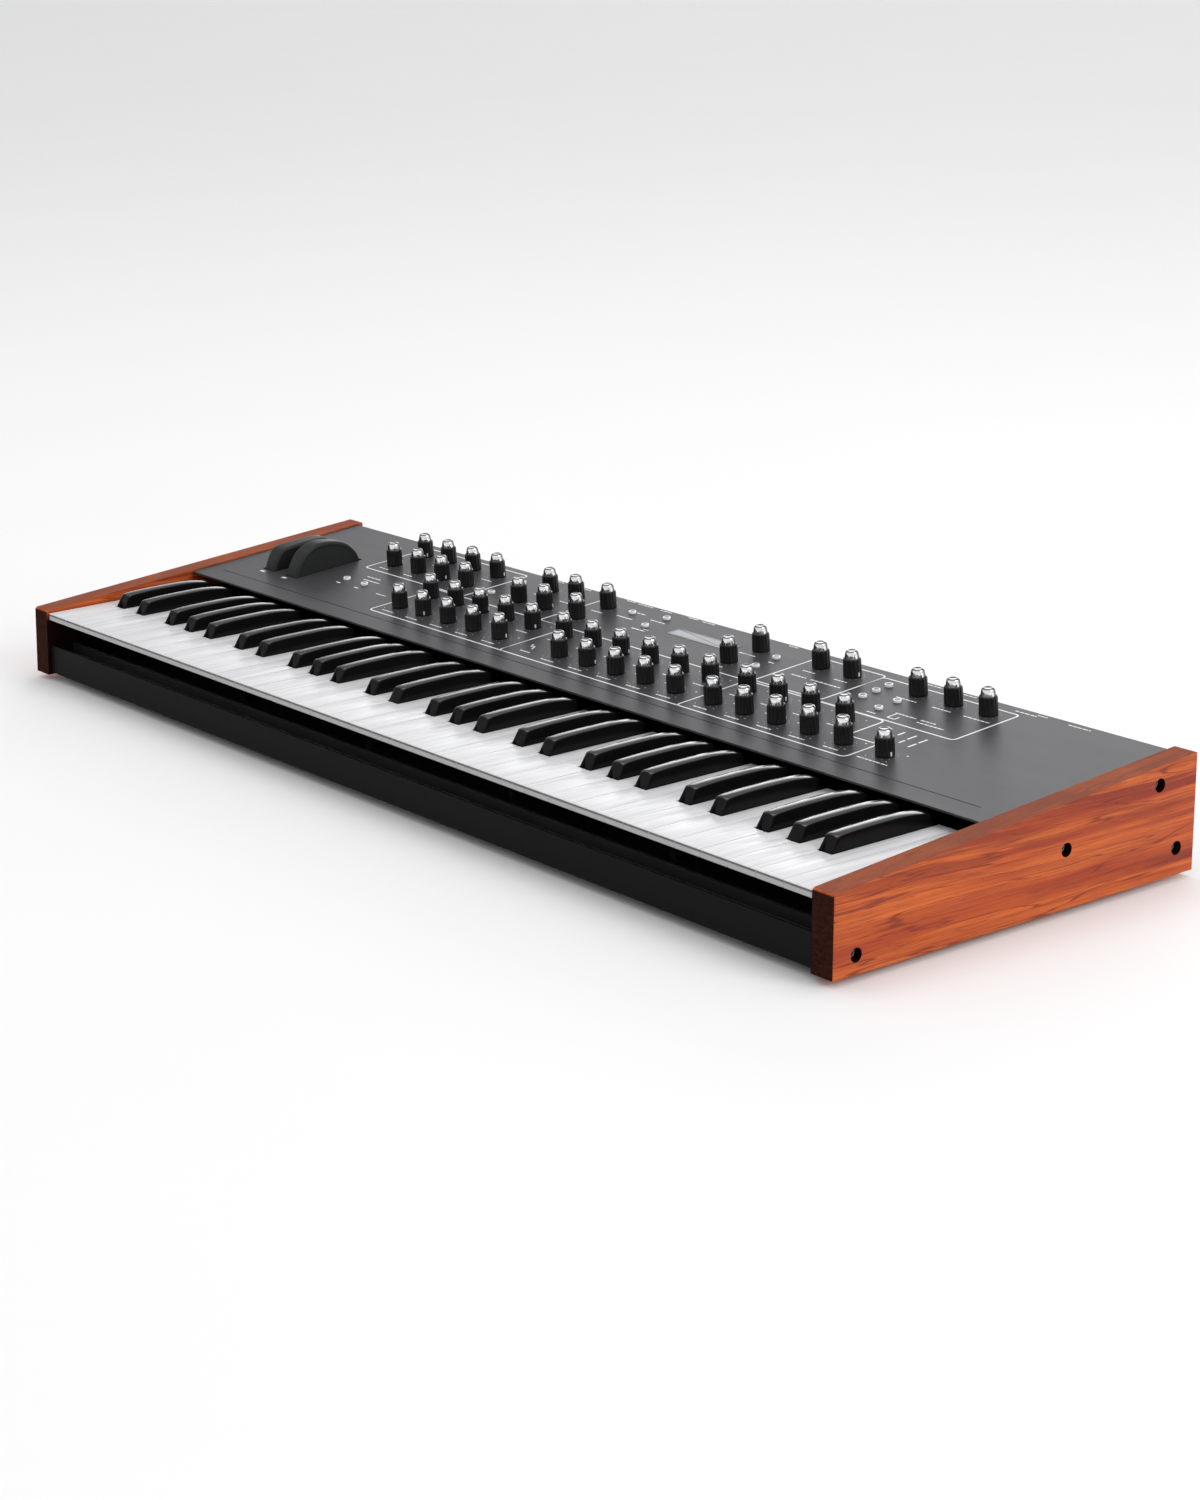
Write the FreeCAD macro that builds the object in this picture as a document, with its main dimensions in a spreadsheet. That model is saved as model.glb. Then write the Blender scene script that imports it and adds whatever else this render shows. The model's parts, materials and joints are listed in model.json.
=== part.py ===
import FreeCAD, Part
import math
import os
import re
import Sketcher
from FreeCAD import Placement, Rotation, Vector

# 61-key analogue-style synthesizer: wooden end cheeks, a sloped metal control panel,
# two performance wheels and keys that swing on one pivot rod.
# Frame: +X to the right (low keys to high keys), +Y to the back, +Z up, millimetres.
# Origin: middle of the footprint, on the plane under the rubber feet.

doc = FreeCAD.newDocument("synthesizer")
sheet = doc.addObject("Spreadsheet::Sheet", "dims")

# Depths are measured back from the cheeks' front faces and heights up from the cheeks'
# undersides, but jack_z is a height in the main frame. Panel places are measured along X
# and, for the row_ and _s values, up the slope from the panel's front edge.
CELLS = [
    # case: cheeks, tray with its front flange and rear wall
    ("wood_thick", 18.0), ("depth_all", 324.0), ("inner_wide", 849.0), ("foot_high", 5.0),
    ("cheek_front", 53.8), ("cheek_back", 78.5), ("cheek_round", 2.6), ("cheek_soft", 0.9),
    ("sheet_thick", 1.5), ("tray_lift", 1.3), ("tray_front", 3.0), ("flange_top", 24.5),
    ("wall_out", 318.0), ("wall_top", 70.0),
    # top panel and the crease across it
    ("panel_front", 145.0), ("panel_drop", 1.0), ("panel_long", 175.5), ("panel_flange", 17.0),
    ("crease_back", 19.0), ("crease_wide", 0.8), ("crease_deep", 0.35), ("crease_half", 407.0),
    # knobs, potentiometers and the board under the panel
    ("row_one", 48.8), ("row_two", 81.5), ("row_three", 119.2), ("row_four", 151.7),
    ("knob_rad", 6.5), ("knob_high", 12.9), ("knob_top", 18.8), ("knob_gap", 0.7),
    ("knob_cap_rad", 5.1), ("knob_bore", 3.05), ("knob_bore_deep", 9.6),
    ("shaft_rad", 3.0), ("shaft_hole", 3.6), ("shaft_tip", 9.2),
    ("pot_side", 9.6), ("pot_high", 6.8), ("pcb_gap", 9.2), ("pcb_thick", 1.6),
    # buttons and display
    ("button_rad", 3.0), ("button_hole", 3.35), ("button_up", 1.7), ("button_down", 4.2),
    ("switch_side", 6.0), ("switch_top", 5.2),
    ("disp_x", 33.0), ("disp_s", 142.6), ("disp_wide", 66.0), ("disp_tall", 14.6),
    # performance wheels
    ("wheel_rad", 34.0), ("wheel_wide", 14.5), ("wheel_s", 77.2), ("wheel_sink", 8.4),
    ("pitch_x", -375.8), ("mod_x", -345.6), ("wheel_flat", 25.4), ("slot_clear", 1.2),
    ("axle_rad", 3.0), ("axle_hole", 3.06),
    # keys and their pivot
    ("key_pitch", 23.5), ("white_gap", 0.4), ("white_top", 51.8), ("white_front", 1.3),
    ("white_lip", 5.6), ("head_deep", 53.0), ("white_back", 150.0), ("stem_wide", 9.6),
    ("pivot_back", 176.0), ("pivot_high", 43.5), ("pivot_rad", 2.0), ("pivot_hole", 2.05),
    ("black_front", 57.6), ("black_back", 141.0), ("black_wide", 11.8),
    ("black_top_wide", 9.0), ("black_rise", 11.6), ("key_round", 0.6),
    # feet and rear sockets
    ("foot_rad", 10.0), ("foot_x", 398.0), ("foot_y", 134.0),
    ("jack_bore", 3.25), ("jack_bush", 4.8), ("jack_z", 47.0),
]
DIM = {}
for line, (alias, number) in enumerate(CELLS, start=1):
    sheet.set("A%d" % line, alias)
    sheet.set("B%d" % line, str(number))
    sheet.setAlias("B%d" % line, alias)
    DIM[alias] = number
doc.recompute()

WORD = re.compile(r"[a-z][a-z_]*")
RIGHT, BACK, UP = Vector(1, 0, 0), Vector(0, 1, 0), Vector(0, 0, 1)
NODES = []


# ---------------------------------------------------------------- expressions
# A size or place is either a plain number or an expression in the sheet's aliases.
def value(size):
    if isinstance(size, (int, float)):
        return float(size)
    result = sheet.evalExpression(size)
    return float(result.Value if hasattr(result, "Value") else result)


def bind(obj, path, size):
    if isinstance(size, str):
        full = WORD.sub(lambda m: "dims." + m.group(0) if m.group(0) in DIM else m.group(0), size)
        obj.setExpression(path, full)


def from_front(size):
    """Expression in Y for a distance behind the cheeks' front faces."""
    return "(%s)-depth_all/2" % size


def above_base(size):
    """Expression in Z for a height above the cheeks' undersides."""
    return "(%s)+foot_high" % size


def frame_y(distance):
    return distance - HALF_DEPTH


def frame_z(height):
    return height + FOOT_HIGH


HALF_DEPTH = DIM["depth_all"] / 2
FOOT_HIGH = DIM["foot_high"]
WALL_Y = frame_y(DIM["wall_out"])
FLOOR_TOP = DIM["tray_lift"] + DIM["sheet_thick"]

# the panel's own frame: local X = X, local Y up the slope, local Z out of the panel
RISE = "(cheek_back-cheek_front)/depth_all"
PANEL_Y = from_front("panel_front")
PANEL_Z = "foot_high+cheek_front+%s*panel_front-panel_drop" % RISE
SLOPE_DEG = math.degrees(math.atan(value(RISE)))
PANEL = Placement(Vector(0, value(PANEL_Y), value(PANEL_Z)), Rotation(RIGHT, SLOPE_DEG))


# ---------------------------------------------------------------- modelling helpers
def origin_feature(body, role):
    for part in body.Origin.OriginFeatures:
        if part.Role == role:
            return part
    raise RuntimeError(role)


def new_body(label, many=False):
    body = doc.addObject("PartDesign::Body", label)
    body.Label = label
    if many:
        body.AllowCompound = True
    NODES.append(body)
    return body


def new_sketch(body, name, role, offset=None):
    sketch = body.newObject("Sketcher::SketchObject", name)
    sketch.AttachmentSupport = [(origin_feature(body, role), "")]
    sketch.MapMode = "FlatFace"
    if offset is not None:
        sketch.AttachmentOffset = Placement(Vector(0, 0, value(offset)), Rotation())
        bind(sketch, "AttachmentOffset.Base.z", offset)
    return sketch


def fix_point(sketch, geometry, point, x, y):
    for kind, size in (("DistanceX", x), ("DistanceY", y)):
        rule = Sketcher.Constraint(kind, -1, 1, geometry, point, value(size))
        index = sketch.addConstraint(rule)
        bind(sketch, "Constraints[%d]" % index, size)


def polygon(sketch, points):
    count = len(points)
    corners = [Vector(value(x), value(y), 0) for x, y in points]
    base = sketch.GeometryCount
    sketch.addGeometry([Part.LineSegment(corners[i], corners[(i + 1) % count])
                        for i in range(count)], False)
    sketch.addConstraint([Sketcher.Constraint("Coincident", base + i, 2, base + (i + 1) % count, 1)
                          for i in range(count)])
    for i, (x, y) in enumerate(points):
        fix_point(sketch, base + i, 1, x, y)


def side_polygon(sketch, points):
    """Polygon in a YZ sketch from (distance behind the front, height above the base)."""
    polygon(sketch, [(from_front(y), above_base(z)) for y, z in points])


def rect(sketch, x0, x1, y0, y1):
    polygon(sketch, [(x0, y0), (x1, y0), (x1, y1), (x0, y1)])


def centred_rect(sketch, x, y, half_x, half_y):
    rect(sketch, *["(%s)%s(%s)" % (centre, sign, half)
                   for centre, half in ((x, half_x), (y, half_y)) for sign in "-+"])


def circles(sketch, centres, radius):
    first = None
    for x, y in centres:
        circle = Part.Circle(Vector(value(x), value(y), 0), UP, value(radius))
        geometry = sketch.addGeometry(circle, False)
        fix_point(sketch, geometry, 3, x, y)
        if first is None:
            first = geometry
            rule = Sketcher.Constraint("Radius", geometry, value(radius))
            index = sketch.addConstraint(rule)
            bind(sketch, "Constraints[%d]" % index, radius)
        else:
            sketch.addConstraint(Sketcher.Constraint("Equal", first, geometry))


def pad(body, sketch, length, mid=False, name="Pad"):
    feat = body.newObject("PartDesign::Pad", name)
    feat.Profile = sketch
    feat.Length = value(length)
    bind(feat, "Length", length)
    feat.Midplane = mid
    body.Tip = feat
    return feat


def pocket(body, sketch, length=None, rev=False, mid=False, name="Pocket"):
    """Cuts the profile out of the body, right through without a length; must remove material."""
    doc.recompute()
    before = body.Shape.Volume
    feat = body.newObject("PartDesign::Pocket", name)
    feat.Profile = sketch
    if length is None:
        feat.Type = 1
    else:
        feat.Length = value(length)
        bind(feat, "Length", length)
    feat.Midplane = mid
    feat.Reversed = rev
    body.Tip = feat
    doc.recompute()
    if not body.Shape.Volume < before - 1e-6:
        raise RuntimeError("pocket %s of %s cuts nothing" % (name, body.Label))
    return feat


def round_edges(body, radius, pick, name):
    doc.recompute()
    tip = body.Tip
    names = ["Edge%d" % i for i, edge in enumerate(tip.Shape.Edges, start=1) if pick(edge)]
    if not names:
        raise RuntimeError("no edges to round on " + body.Label)
    feat = body.newObject("PartDesign::Fillet", name)
    feat.Base = (tip, names)
    feat.Radius = value(radius)
    bind(feat, "Radius", radius)
    body.Tip = feat
    doc.recompute()
    if "Invalid" in feat.State or feat.Shape.isNull() or not feat.Shape.isValid():
        raise RuntimeError("fillet failed on " + body.Label)
    return feat


def repeat_along_x(body, features, length, count, name):
    feat = body.newObject("PartDesign::LinearPattern", name)
    feat.Originals = features
    feat.Direction = (origin_feature(body, "X_Axis"), [""])
    feat.Length = value(length)
    bind(feat, "Length", length)
    feat.Occurrences = count
    body.Tip = feat
    doc.recompute()


def on_panel(body):
    body.Placement = PANEL
    bind(body, "Placement.Base.y", PANEL_Y)
    bind(body, "Placement.Base.z", PANEL_Z)
    bind(body, "Placement.Rotation.Angle", "atan(%s)" % RISE)


def feature(label, shape, place=None):
    """Fixed shape, or a compound of a list of shapes."""
    obj = doc.addObject("Part::Feature", label)
    obj.Label = label
    obj.Shape = Part.makeCompound(shape) if isinstance(shape, list) else shape
    if place is not None:
        obj.Placement = place
    NODES.append(obj)


def box(x0, x1, y0, y1, z0, z1):
    return Part.makeBox(x1 - x0, y1 - y0, z1 - z0, Vector(x0, y0, z0))


def cylinder(radius, height, base, direction=UP):
    return Part.makeCylinder(radius, height, base, direction)


# ---------------------------------------------------------------- wooden cheeks
# screw places: distance behind the front, height above the base
CHEEK_SCREWS = [(19, 12.5), (202, 39), (288.5, 63.5), (307, 18)]
COUNTERBORE_RAD, COUNTERBORE_DEEP = 4.6, 8.0
SCREW_HOLE_RAD = 2.4


def cheek(label, side):
    """side: -1 for the left cheek, 1 for the right."""
    outer = "inner_wide/2+wood_thick" if side > 0 else "-inner_wide/2-wood_thick"
    outer_x = abs(value(outer))
    body = new_body(label)
    sketch = new_sketch(body, label + "_side", "YZ_Plane", "inner_wide/2" if side > 0 else outer)
    side_polygon(sketch, [(0, 0), ("depth_all", 0), ("depth_all", "cheek_back"),
                          (0, "cheek_front")])
    pad(body, sketch, "wood_thick", name=label + "_block")
    round_edges(body, "cheek_round", lambda edge: abs(edge.CenterOfMass.y + HALF_DEPTH) < 0.01
                and edge.CenterOfMass.z > frame_z(DIM["cheek_front"]) - 0.2
                and edge.BoundBox.XLength > 5, label + "_nose")
    round_edges(body, "cheek_soft", lambda edge: abs(abs(edge.CenterOfMass.x) - outer_x) < 0.01
                and edge.BoundBox.XLength < 0.01 and edge.CenterOfMass.z > FOOT_HIGH + 1,
                label + "_soft")
    # counterbored screw holes, from the outer face inwards
    centres = [(from_front(y), above_base(z)) for y, z in CHEEK_SCREWS]
    for tag, radius, deep in (("bore", COUNTERBORE_RAD, COUNTERBORE_DEEP),
                              ("hole", SCREW_HOLE_RAD, None)):
        sketch = new_sketch(body, "%s_%s" % (label, tag), "YZ_Plane", outer)
        circles(sketch, centres, radius)
        pocket(body, sketch, deep, rev=side < 0, name="%s_%s_cut" % (label, tag))


def cheek_screws():
    """Button-head screws in the counterbores, four a side."""
    head_rad, crown_rad = 4.2, 2.6
    rim_high, crown_high = 2.4, 1.5
    socket_rad, socket_start, socket_long = 1.6, 1.6, 2.6
    shank_rad, shank_long = 2.2, 16.0
    seat = COUNTERBORE_DEEP - 0.1
    screws = []
    for side in (-1, 1):
        outer_x = side * value("inner_wide/2+wood_thick")
        out = Vector(side, 0, 0)
        for y, z in CHEEK_SCREWS:
            base = Vector(outer_x - side * seat, frame_y(y), frame_z(z))
            crown = Part.makeCone(head_rad, crown_rad, crown_high, base + out * rim_high, out)
            head = cylinder(head_rad, rim_high, base, out).fuse(crown)
            head = head.cut(cylinder(socket_rad, socket_long, base + out * socket_start, out))
            shank = cylinder(shank_rad, shank_long, base - out * shank_long, out)
            screws.append(head.fuse(shank))
    feature("cheek_screws", screws)


# ---------------------------------------------------------------- chassis tray
JACK_X = [-40, -12, 16, 44, 78, 106, 134]
MIDI_X = [-238, -208, -178]
USB_X = -145
INLET_X = 330
ROCKER_X = 372
MIDI_RING_RAD = 8.0
# centre x, half width, half height
SQUARE_HOLES = [(USB_X, 6.4, 5.8), (INLET_X, 14.2, 10.2), (ROCKER_X, 10.2, 7.2)]
WALL_CUT = 4.0


def chassis_tray():
    """Floor, front flange and rear wall folded from one sheet."""
    body = new_body("chassis_tray")
    sketch = new_sketch(body, "tray_section", "YZ_Plane")
    wall_in, front_in = "wall_out-sheet_thick", "tray_front+sheet_thick"
    floor_top = "tray_lift+sheet_thick"
    side_polygon(sketch, [
        ("tray_front", "flange_top"), ("tray_front", "tray_lift"), ("wall_out", "tray_lift"),
        ("wall_out", "wall_top"), (wall_in, "wall_top"), (wall_in, floor_top),
        (front_in, floor_top), (front_in, "flange_top")])
    pad(body, sketch, "inner_wide", mid=True, name="tray_sheet")
    bend_rad = 1.2
    round_edges(body, bend_rad, lambda edge: edge.BoundBox.XLength > 800
                and abs(edge.CenterOfMass.z - frame_z(DIM["tray_lift"])) < 0.01, "tray_bends")

    def wall_sketch(name):
        return new_sketch(body, name, "XZ_Plane", "-(wall_out-depth_all/2)")

    for tag, places, radius in (("rear_jack", JACK_X, "jack_bush+0.2"),
                                ("rear_data", MIDI_X, MIDI_RING_RAD + 0.2)):
        sketch = wall_sketch(tag + "_holes")
        circles(sketch, [(x, "jack_z") for x in places], radius)
        pocket(body, sketch, WALL_CUT, rev=True, name=tag + "_cut")
    sketch = wall_sketch("rear_square_holes")
    for x, half_wide, half_high in SQUARE_HOLES:
        centred_rect(sketch, x, "jack_z", half_wide, half_high)
    pocket(body, sketch, WALL_CUT, rev=True, name="rear_square_cut")


# ---------------------------------------------------------------- sloped top panel
KNOB_ROWS = {  # row up the slope: knob places along X
    "row_one": [-208.3, -179, -149, -118.5, -87.5, -20, 10.5, 41, 72, 103,
                140.5, 171, 201.5, 232, 263, 299.5],
    "row_two": [-209.5, -179, -149, -118.5, -87.5, -51.5, -19.5, 11, 42, 73, 104,
                140.5, 171, 201.5, 233],
    "row_three": [-303.5, -272.5, -242, -212, -147.5, -117, -80, 83.5],
    "row_four": [-303, -273, -242, -211.5, -147.5, -117, -80.5, 83,
                 142.5, 172.5, 233.5, 265, 295.5],
}
KNOBS = [(x, row) for row, places in KNOB_ROWS.items() for x in places]
# button places: along X, up the slope
OCTAVE_BUTTONS = [(-303.0, 69.0), (-279.5, 68.6)]
PANEL_BUTTONS = [
    (-56.0, 153.8), (-24.8, 160.0), (-24.4, 137.6), (104.0, 146.0), (105.6, 123.8),
    (208.0, 124.4), (207.0, 138.8), (206.0, 152.2), (232.6, 132.0), (233.0, 113.6),
    (-181.0, 119.2), (-181.0, 151.7), (281.5, 62.0)]
PANEL_CUT = 3.0


def top_panel():
    body = new_body("top_panel")
    sketch = new_sketch(body, "panel_plate", "XY_Plane", "-sheet_thick")
    rect(sketch, "-inner_wide/2", "inner_wide/2", 0, "panel_long")
    pad(body, sketch, "sheet_thick", name="panel_sheet")
    # rear leg, which leans so that it hangs straight down
    sketch = new_sketch(body, "panel_rear_leg", "YZ_Plane")
    lean = "panel_flange*" + RISE
    leg_top = -0.2
    polygon(sketch, [("panel_long-sheet_thick", leg_top), ("panel_long", leg_top),
                     ("panel_long-" + lean, "-panel_flange"),
                     ("panel_long-sheet_thick-" + lean, "-panel_flange")])
    pad(body, sketch, "inner_wide", mid=True, name="panel_leg")
    bend_rad = 1.3
    round_edges(body, bend_rad, lambda edge: edge.BoundBox.XLength > 800
                and abs(edge.CenterOfMass.y - DIM["panel_long"]) < 0.01
                and abs(edge.CenterOfMass.z) < 0.01, "panel_bend")
    sketch = new_sketch(body, "panel_crease", "XY_Plane", "-crease_deep")
    centred_rect(sketch, 0, "crease_back", "crease_half", "crease_wide/2")
    pocket(body, sketch, "crease_deep+1", rev=True, name="panel_crease_cut")
    for tag, centres, radius in (("knob_hole", KNOBS, "shaft_hole"),
                                 ("button_hole", OCTAVE_BUTTONS + PANEL_BUTTONS, "button_hole")):
        sketch = new_sketch(body, tag + "s", "XY_Plane")
        circles(sketch, centres, radius)
        pocket(body, sketch, PANEL_CUT, name=tag + "_cut")
    sketch = new_sketch(body, "window_and_wheel_slots", "XY_Plane")
    centred_rect(sketch, "disp_x", "disp_s", "disp_wide/2", "disp_tall/2")
    half_chord = "sqrt(wheel_rad^2-(wheel_sink-sheet_thick)^2)"
    for wheel_x in ("pitch_x", "mod_x"):
        centred_rect(sketch, wheel_x, "wheel_s", "wheel_wide/2+slot_clear",
                     half_chord + "+slot_clear")
    pocket(body, sketch, PANEL_CUT, name="window_and_wheel_cut")
    on_panel(body)


def display_block(body, tag, pad_name, bottom, half_wide, half_tall, thick):
    """Rectangular block centred on the display, in the panel's frame."""
    sketch = new_sketch(body, tag, "XY_Plane", bottom)
    centred_rect(sketch, "disp_x", "disp_s", half_wide, half_tall)
    pad(body, sketch, thick, name=pad_name)


def display():
    """Window lens, and the module behind it."""
    lens = new_body("display_window")
    display_block(lens, "lens_outline", "lens_plate", bottom="-sheet_thick",
                  half_wide="disp_wide/2-0.3", half_tall="disp_tall/2-0.3", thick=1.7)
    on_panel(lens)
    module = new_body("display_module")
    display_block(module, "module_board", "module_board_pad", bottom="-pcb_gap",
                  half_wide=39, half_tall=15, thick=1.6)
    display_block(module, "module_glass", "module_glass_pad", bottom="-pcb_gap+1.5",
                  half_wide=35, half_tall=10, thick=6.0)
    on_panel(module)


def panel_board():
    """Control board under the panel, with its potentiometers and push switches."""
    body = new_body("panel_board")
    sketch = new_sketch(body, "panel_board_outline", "XY_Plane", "-pcb_gap-pcb_thick-0.1")
    rect(sketch, -322, 314, 40, 166)
    pad(body, sketch, "pcb_thick", name="panel_board_sheet")
    on_panel(body)

    seat = value("-pcb_gap-0.05")
    half = DIM["pot_side"] / 2
    front_extra = 0.6     # the cans are a little longer towards the front
    shaft_start = seat + 1
    pots = []
    for x, row in KNOBS:
        y = DIM[row]
        can = box(x - half, x + half, y - half - front_extra, y + half,
                  seat, seat + DIM["pot_high"])
        pots.append(can.fuse(cylinder(DIM["shaft_rad"], DIM["shaft_tip"] - shaft_start,
                                      Vector(x, y, shaft_start))))
    feature("knob_potentiometers", pots, PANEL)
    half = DIM["switch_side"] / 2
    switches = [box(x - half, x + half, y - half, y + half, seat, -DIM["switch_top"])
                for x, y in OCTAVE_BUTTONS + PANEL_BUTTONS]
    feature("push_switches", switches, PANEL)


# ---------------------------------------------------------------- knobs and buttons
# half section (radius, height): body, chamfered shoulder, low dome, shaft bore
KNOB_PROFILE = [
    ("knob_bore", "knob_gap"), ("knob_rad-0.5", "knob_gap"), ("knob_rad", "knob_gap+0.8"),
    ("knob_rad-0.3", "knob_high-0.9"), ("knob_rad-1.1", "knob_high"),
    ("knob_cap_rad", "knob_high+0.3"), ("knob_cap_rad-0.6", "knob_top-1.4"),
    ("knob_cap_rad-1.3", "knob_top-0.25"), ("knob_cap_rad-2.2", "knob_top"), (0, "knob_top"),
    (0, "knob_bore_deep+0.6"), ("knob_bore", "knob_bore_deep")]

# knobs that are pieces of their own: place along X, row, turn in degrees
TURNING = {
    "knob_volume": (295.5, "row_four", 20), "knob_data_select": (83, "row_four", -40),
    "knob_data_value": (83.5, "row_three", 30), "knob_cutoff": (-20, "row_one", 60),
    "knob_resonance": (10.5, "row_one", -70), "knob_attack": (140.5, "row_one", 110),
    "knob_decay": (171, "row_one", 15), "knob_sustain": (201.5, "row_one", -35),
    "knob_release": (232, "row_one", 80), "knob_pitch": (-208.3, "row_one", 0),
}


def knob_place(x, row, turn):
    return Placement(Vector(x, DIM[row], 0), Rotation(UP, turn))


def knob(label, x, row, turn):
    body = new_body(label)
    sketch = new_sketch(body, label + "_half", "XZ_Plane")
    polygon(sketch, KNOB_PROFILE)
    turned = body.newObject("PartDesign::Revolution", label + "_turned")
    turned.Profile = sketch
    turned.ReferenceAxis = (origin_feature(body, "Z_Axis"), [""])
    turned.Angle = 360
    body.Tip = turned
    # pointer: a slot across the shoulder
    sketch = new_sketch(body, label + "_pointer", "XY_Plane", "knob_high-0.25")
    rect(sketch, -0.5, 0.5, "knob_cap_rad+0.15", "knob_rad+1")
    pocket(body, sketch, 3.0, rev=True, name=label + "_pointer_cut")
    body.Placement = PANEL.multiply(knob_place(x, row, turn))
    return body


def knobs():
    bodies = [knob(label, *place) for label, place in TURNING.items()]
    doc.recompute()
    master = bodies[0].Shape.copy()
    taken = {(x, row) for x, row, _ in TURNING.values()}
    others = []
    for k, (x, row) in enumerate([spot for spot in KNOBS if spot not in taken]):
        copy = master.copy()
        # spreads the pointers from -120 to 120 degrees
        copy.Placement = knob_place(x, row, (k * 67) % 240 - 120)
        others.append(copy)
    feature("section_knobs", others, PANEL)


def buttons(label, places):
    body = new_body(label, many=True)
    sketch = new_sketch(body, label + "_caps", "XY_Plane", "-button_down")
    circles(sketch, places, "button_rad")
    pad(body, sketch, "button_down+button_up", name=label + "_pad")
    round_edges(body, 0.5, lambda edge: abs(edge.CenterOfMass.z - DIM["button_up"]) < 0.01,
                label + "_round")
    on_panel(body)


# ---------------------------------------------------------------- performance wheels
def wheel(label, centre_x, lean):
    """lean: degrees from the panel's normal to the rim's flat, towards the back."""
    body = new_body(label)
    sketch = new_sketch(body, label + "_disc", "YZ_Plane")
    circles(sketch, [(0, 0)], "wheel_rad")
    pad(body, sketch, "wheel_wide", mid=True, name=label + "_rim")
    # one flattened side of the rim
    sketch = new_sketch(body, label + "_flat", "YZ_Plane")
    sin, cos = math.sin(math.radians(lean)), math.cos(math.radians(lean))
    flat, outside, half_long = DIM["wheel_flat"], DIM["wheel_flat"] + 12, 30.0
    polygon(sketch, [(out * sin + along * cos, out * cos - along * sin) for out, along in
                     ((flat, -half_long), (flat, half_long),
                      (outside, half_long), (outside, -half_long))])
    pocket(body, sketch, 40, mid=True, name=label + "_flat_cut")
    # the two ridges of the flat are eased first, then both rims all the way round
    ridge_rad, rim_rad = 3.5, 2.0
    round_edges(body, ridge_rad, lambda edge: edge.BoundBox.XLength > DIM["wheel_wide"] - 0.1
                and math.hypot(edge.CenterOfMass.y, edge.CenterOfMass.z) > 30
                and edge.CenterOfMass.z > 0, label + "_ridges")
    round_edges(body, rim_rad, lambda edge:
                abs(abs(edge.CenterOfMass.x) - DIM["wheel_wide"] / 2) < 0.01, label + "_soft")
    sketch = new_sketch(body, label + "_axle", "YZ_Plane")
    circles(sketch, [(0, 0)], "axle_rad")
    pad(body, sketch, "wheel_wide+10.4", mid=True, name=label + "_axle_pad")
    centre = PANEL.multVec(Vector(value(centre_x), DIM["wheel_s"], -DIM["wheel_sink"]))
    body.Placement = Placement(centre, Rotation(RIGHT, SLOPE_DEG))
    bind(body, "Placement.Base.x", centre_x)


def wheel_mounts():
    """Bracket, end sensors and return spring of the two wheels, in the panel's frame."""
    wheel_y, axle_z, under = DIM["wheel_s"], -DIM["wheel_sink"], -DIM["sheet_thick"]
    plate, middle_plate, side_gap = 2.0, 3.2, 2.0
    reach = DIM["wheel_wide"] / 2 + side_gap + plate
    left, right = DIM["pitch_x"] - reach, DIM["mod_x"] + reach
    middle = (DIM["pitch_x"] + DIM["mod_x"]) / 2
    walls = [(left, plate), (middle - middle_plate / 2, middle_plate), (right - plate, plate)]
    # hanging plates, then cross strips, then rails along the plates' tops
    bracket = [box(x, x + wide, wheel_y - 22, wheel_y + 22, -34, under) for x, wide in walls]
    bracket += [box(left, right, wheel_y + front, wheel_y + back, -3.5, under)
                for front, back in ((-44, -36.2), (36.2, 44))]
    bracket += [box(x, x + wide, wheel_y - 40, wheel_y + 40, -8, under) for x, wide in walls]
    frame = bracket[0].multiFuse(bracket[1:]).removeSplitter()
    frame = frame.cut(cylinder(DIM["axle_hole"], 200, Vector(left - 20, wheel_y, axle_z), RIGHT))
    feature("wheel_bracket", frame, PANEL)

    sensor_rad, sensor_long, bore_long = 6.5, 6.9, 2.1
    sensors = []
    for x, bore_start in ((left - 7.5, 4.9), (right + 0.6, -0.1)):
        base = Vector(x, wheel_y, axle_z)
        bore = cylinder(DIM["axle_hole"] + 0.1, bore_long, base + RIGHT * bore_start, RIGHT)
        sensors.append(cylinder(sensor_rad, sensor_long, base, RIGHT).cut(bore))
    feature("wheel_sensors", sensors, PANEL)

    # a little over one turn of wire round the axle, left of the pitch wheel
    coil_pitch, coil_long, coil_rad, wire_rad = 0.7, 0.8, 4.4, 0.25
    spring_x = DIM["pitch_x"] - DIM["wheel_wide"] / 2 - 1.4
    helix = Part.makeHelix(coil_pitch, coil_long, coil_rad)
    helix.Placement = Placement(Vector(spring_x, wheel_y, axle_z), Rotation(BACK, 90))
    first = helix.Edges[0]
    start = first.valueAt(first.FirstParameter)
    tangent = first.tangentAt(first.FirstParameter)
    ring = Part.Wire([Part.Edge(Part.Circle(start, tangent, wire_rad))])
    spring = Part.Wire(helix.Edges).makePipeShell([ring], True, True)
    feature("pitch_return_spring", spring, PANEL)


# ---------------------------------------------------------------- keys
KEY_PITCH = DIM["key_pitch"]
OCTAVES = 5
OCTAVE = 7 * KEY_PITCH
KEYS_LEFT = -18 * KEY_PITCH
TOP_C_LEFT = KEYS_LEFT + OCTAVES * OCTAVE
# centres of the black keys, from the left of the octave
SHARPS = {"c_sharp": 1 * KEY_PITCH - 2.35, "d_sharp": 2 * KEY_PITCH + 2.35,
          "f_sharp": 4 * KEY_PITCH - 3.36, "g_sharp": 5 * KEY_PITCH,
          "a_sharp": 6 * KEY_PITCH + 3.36}
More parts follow.
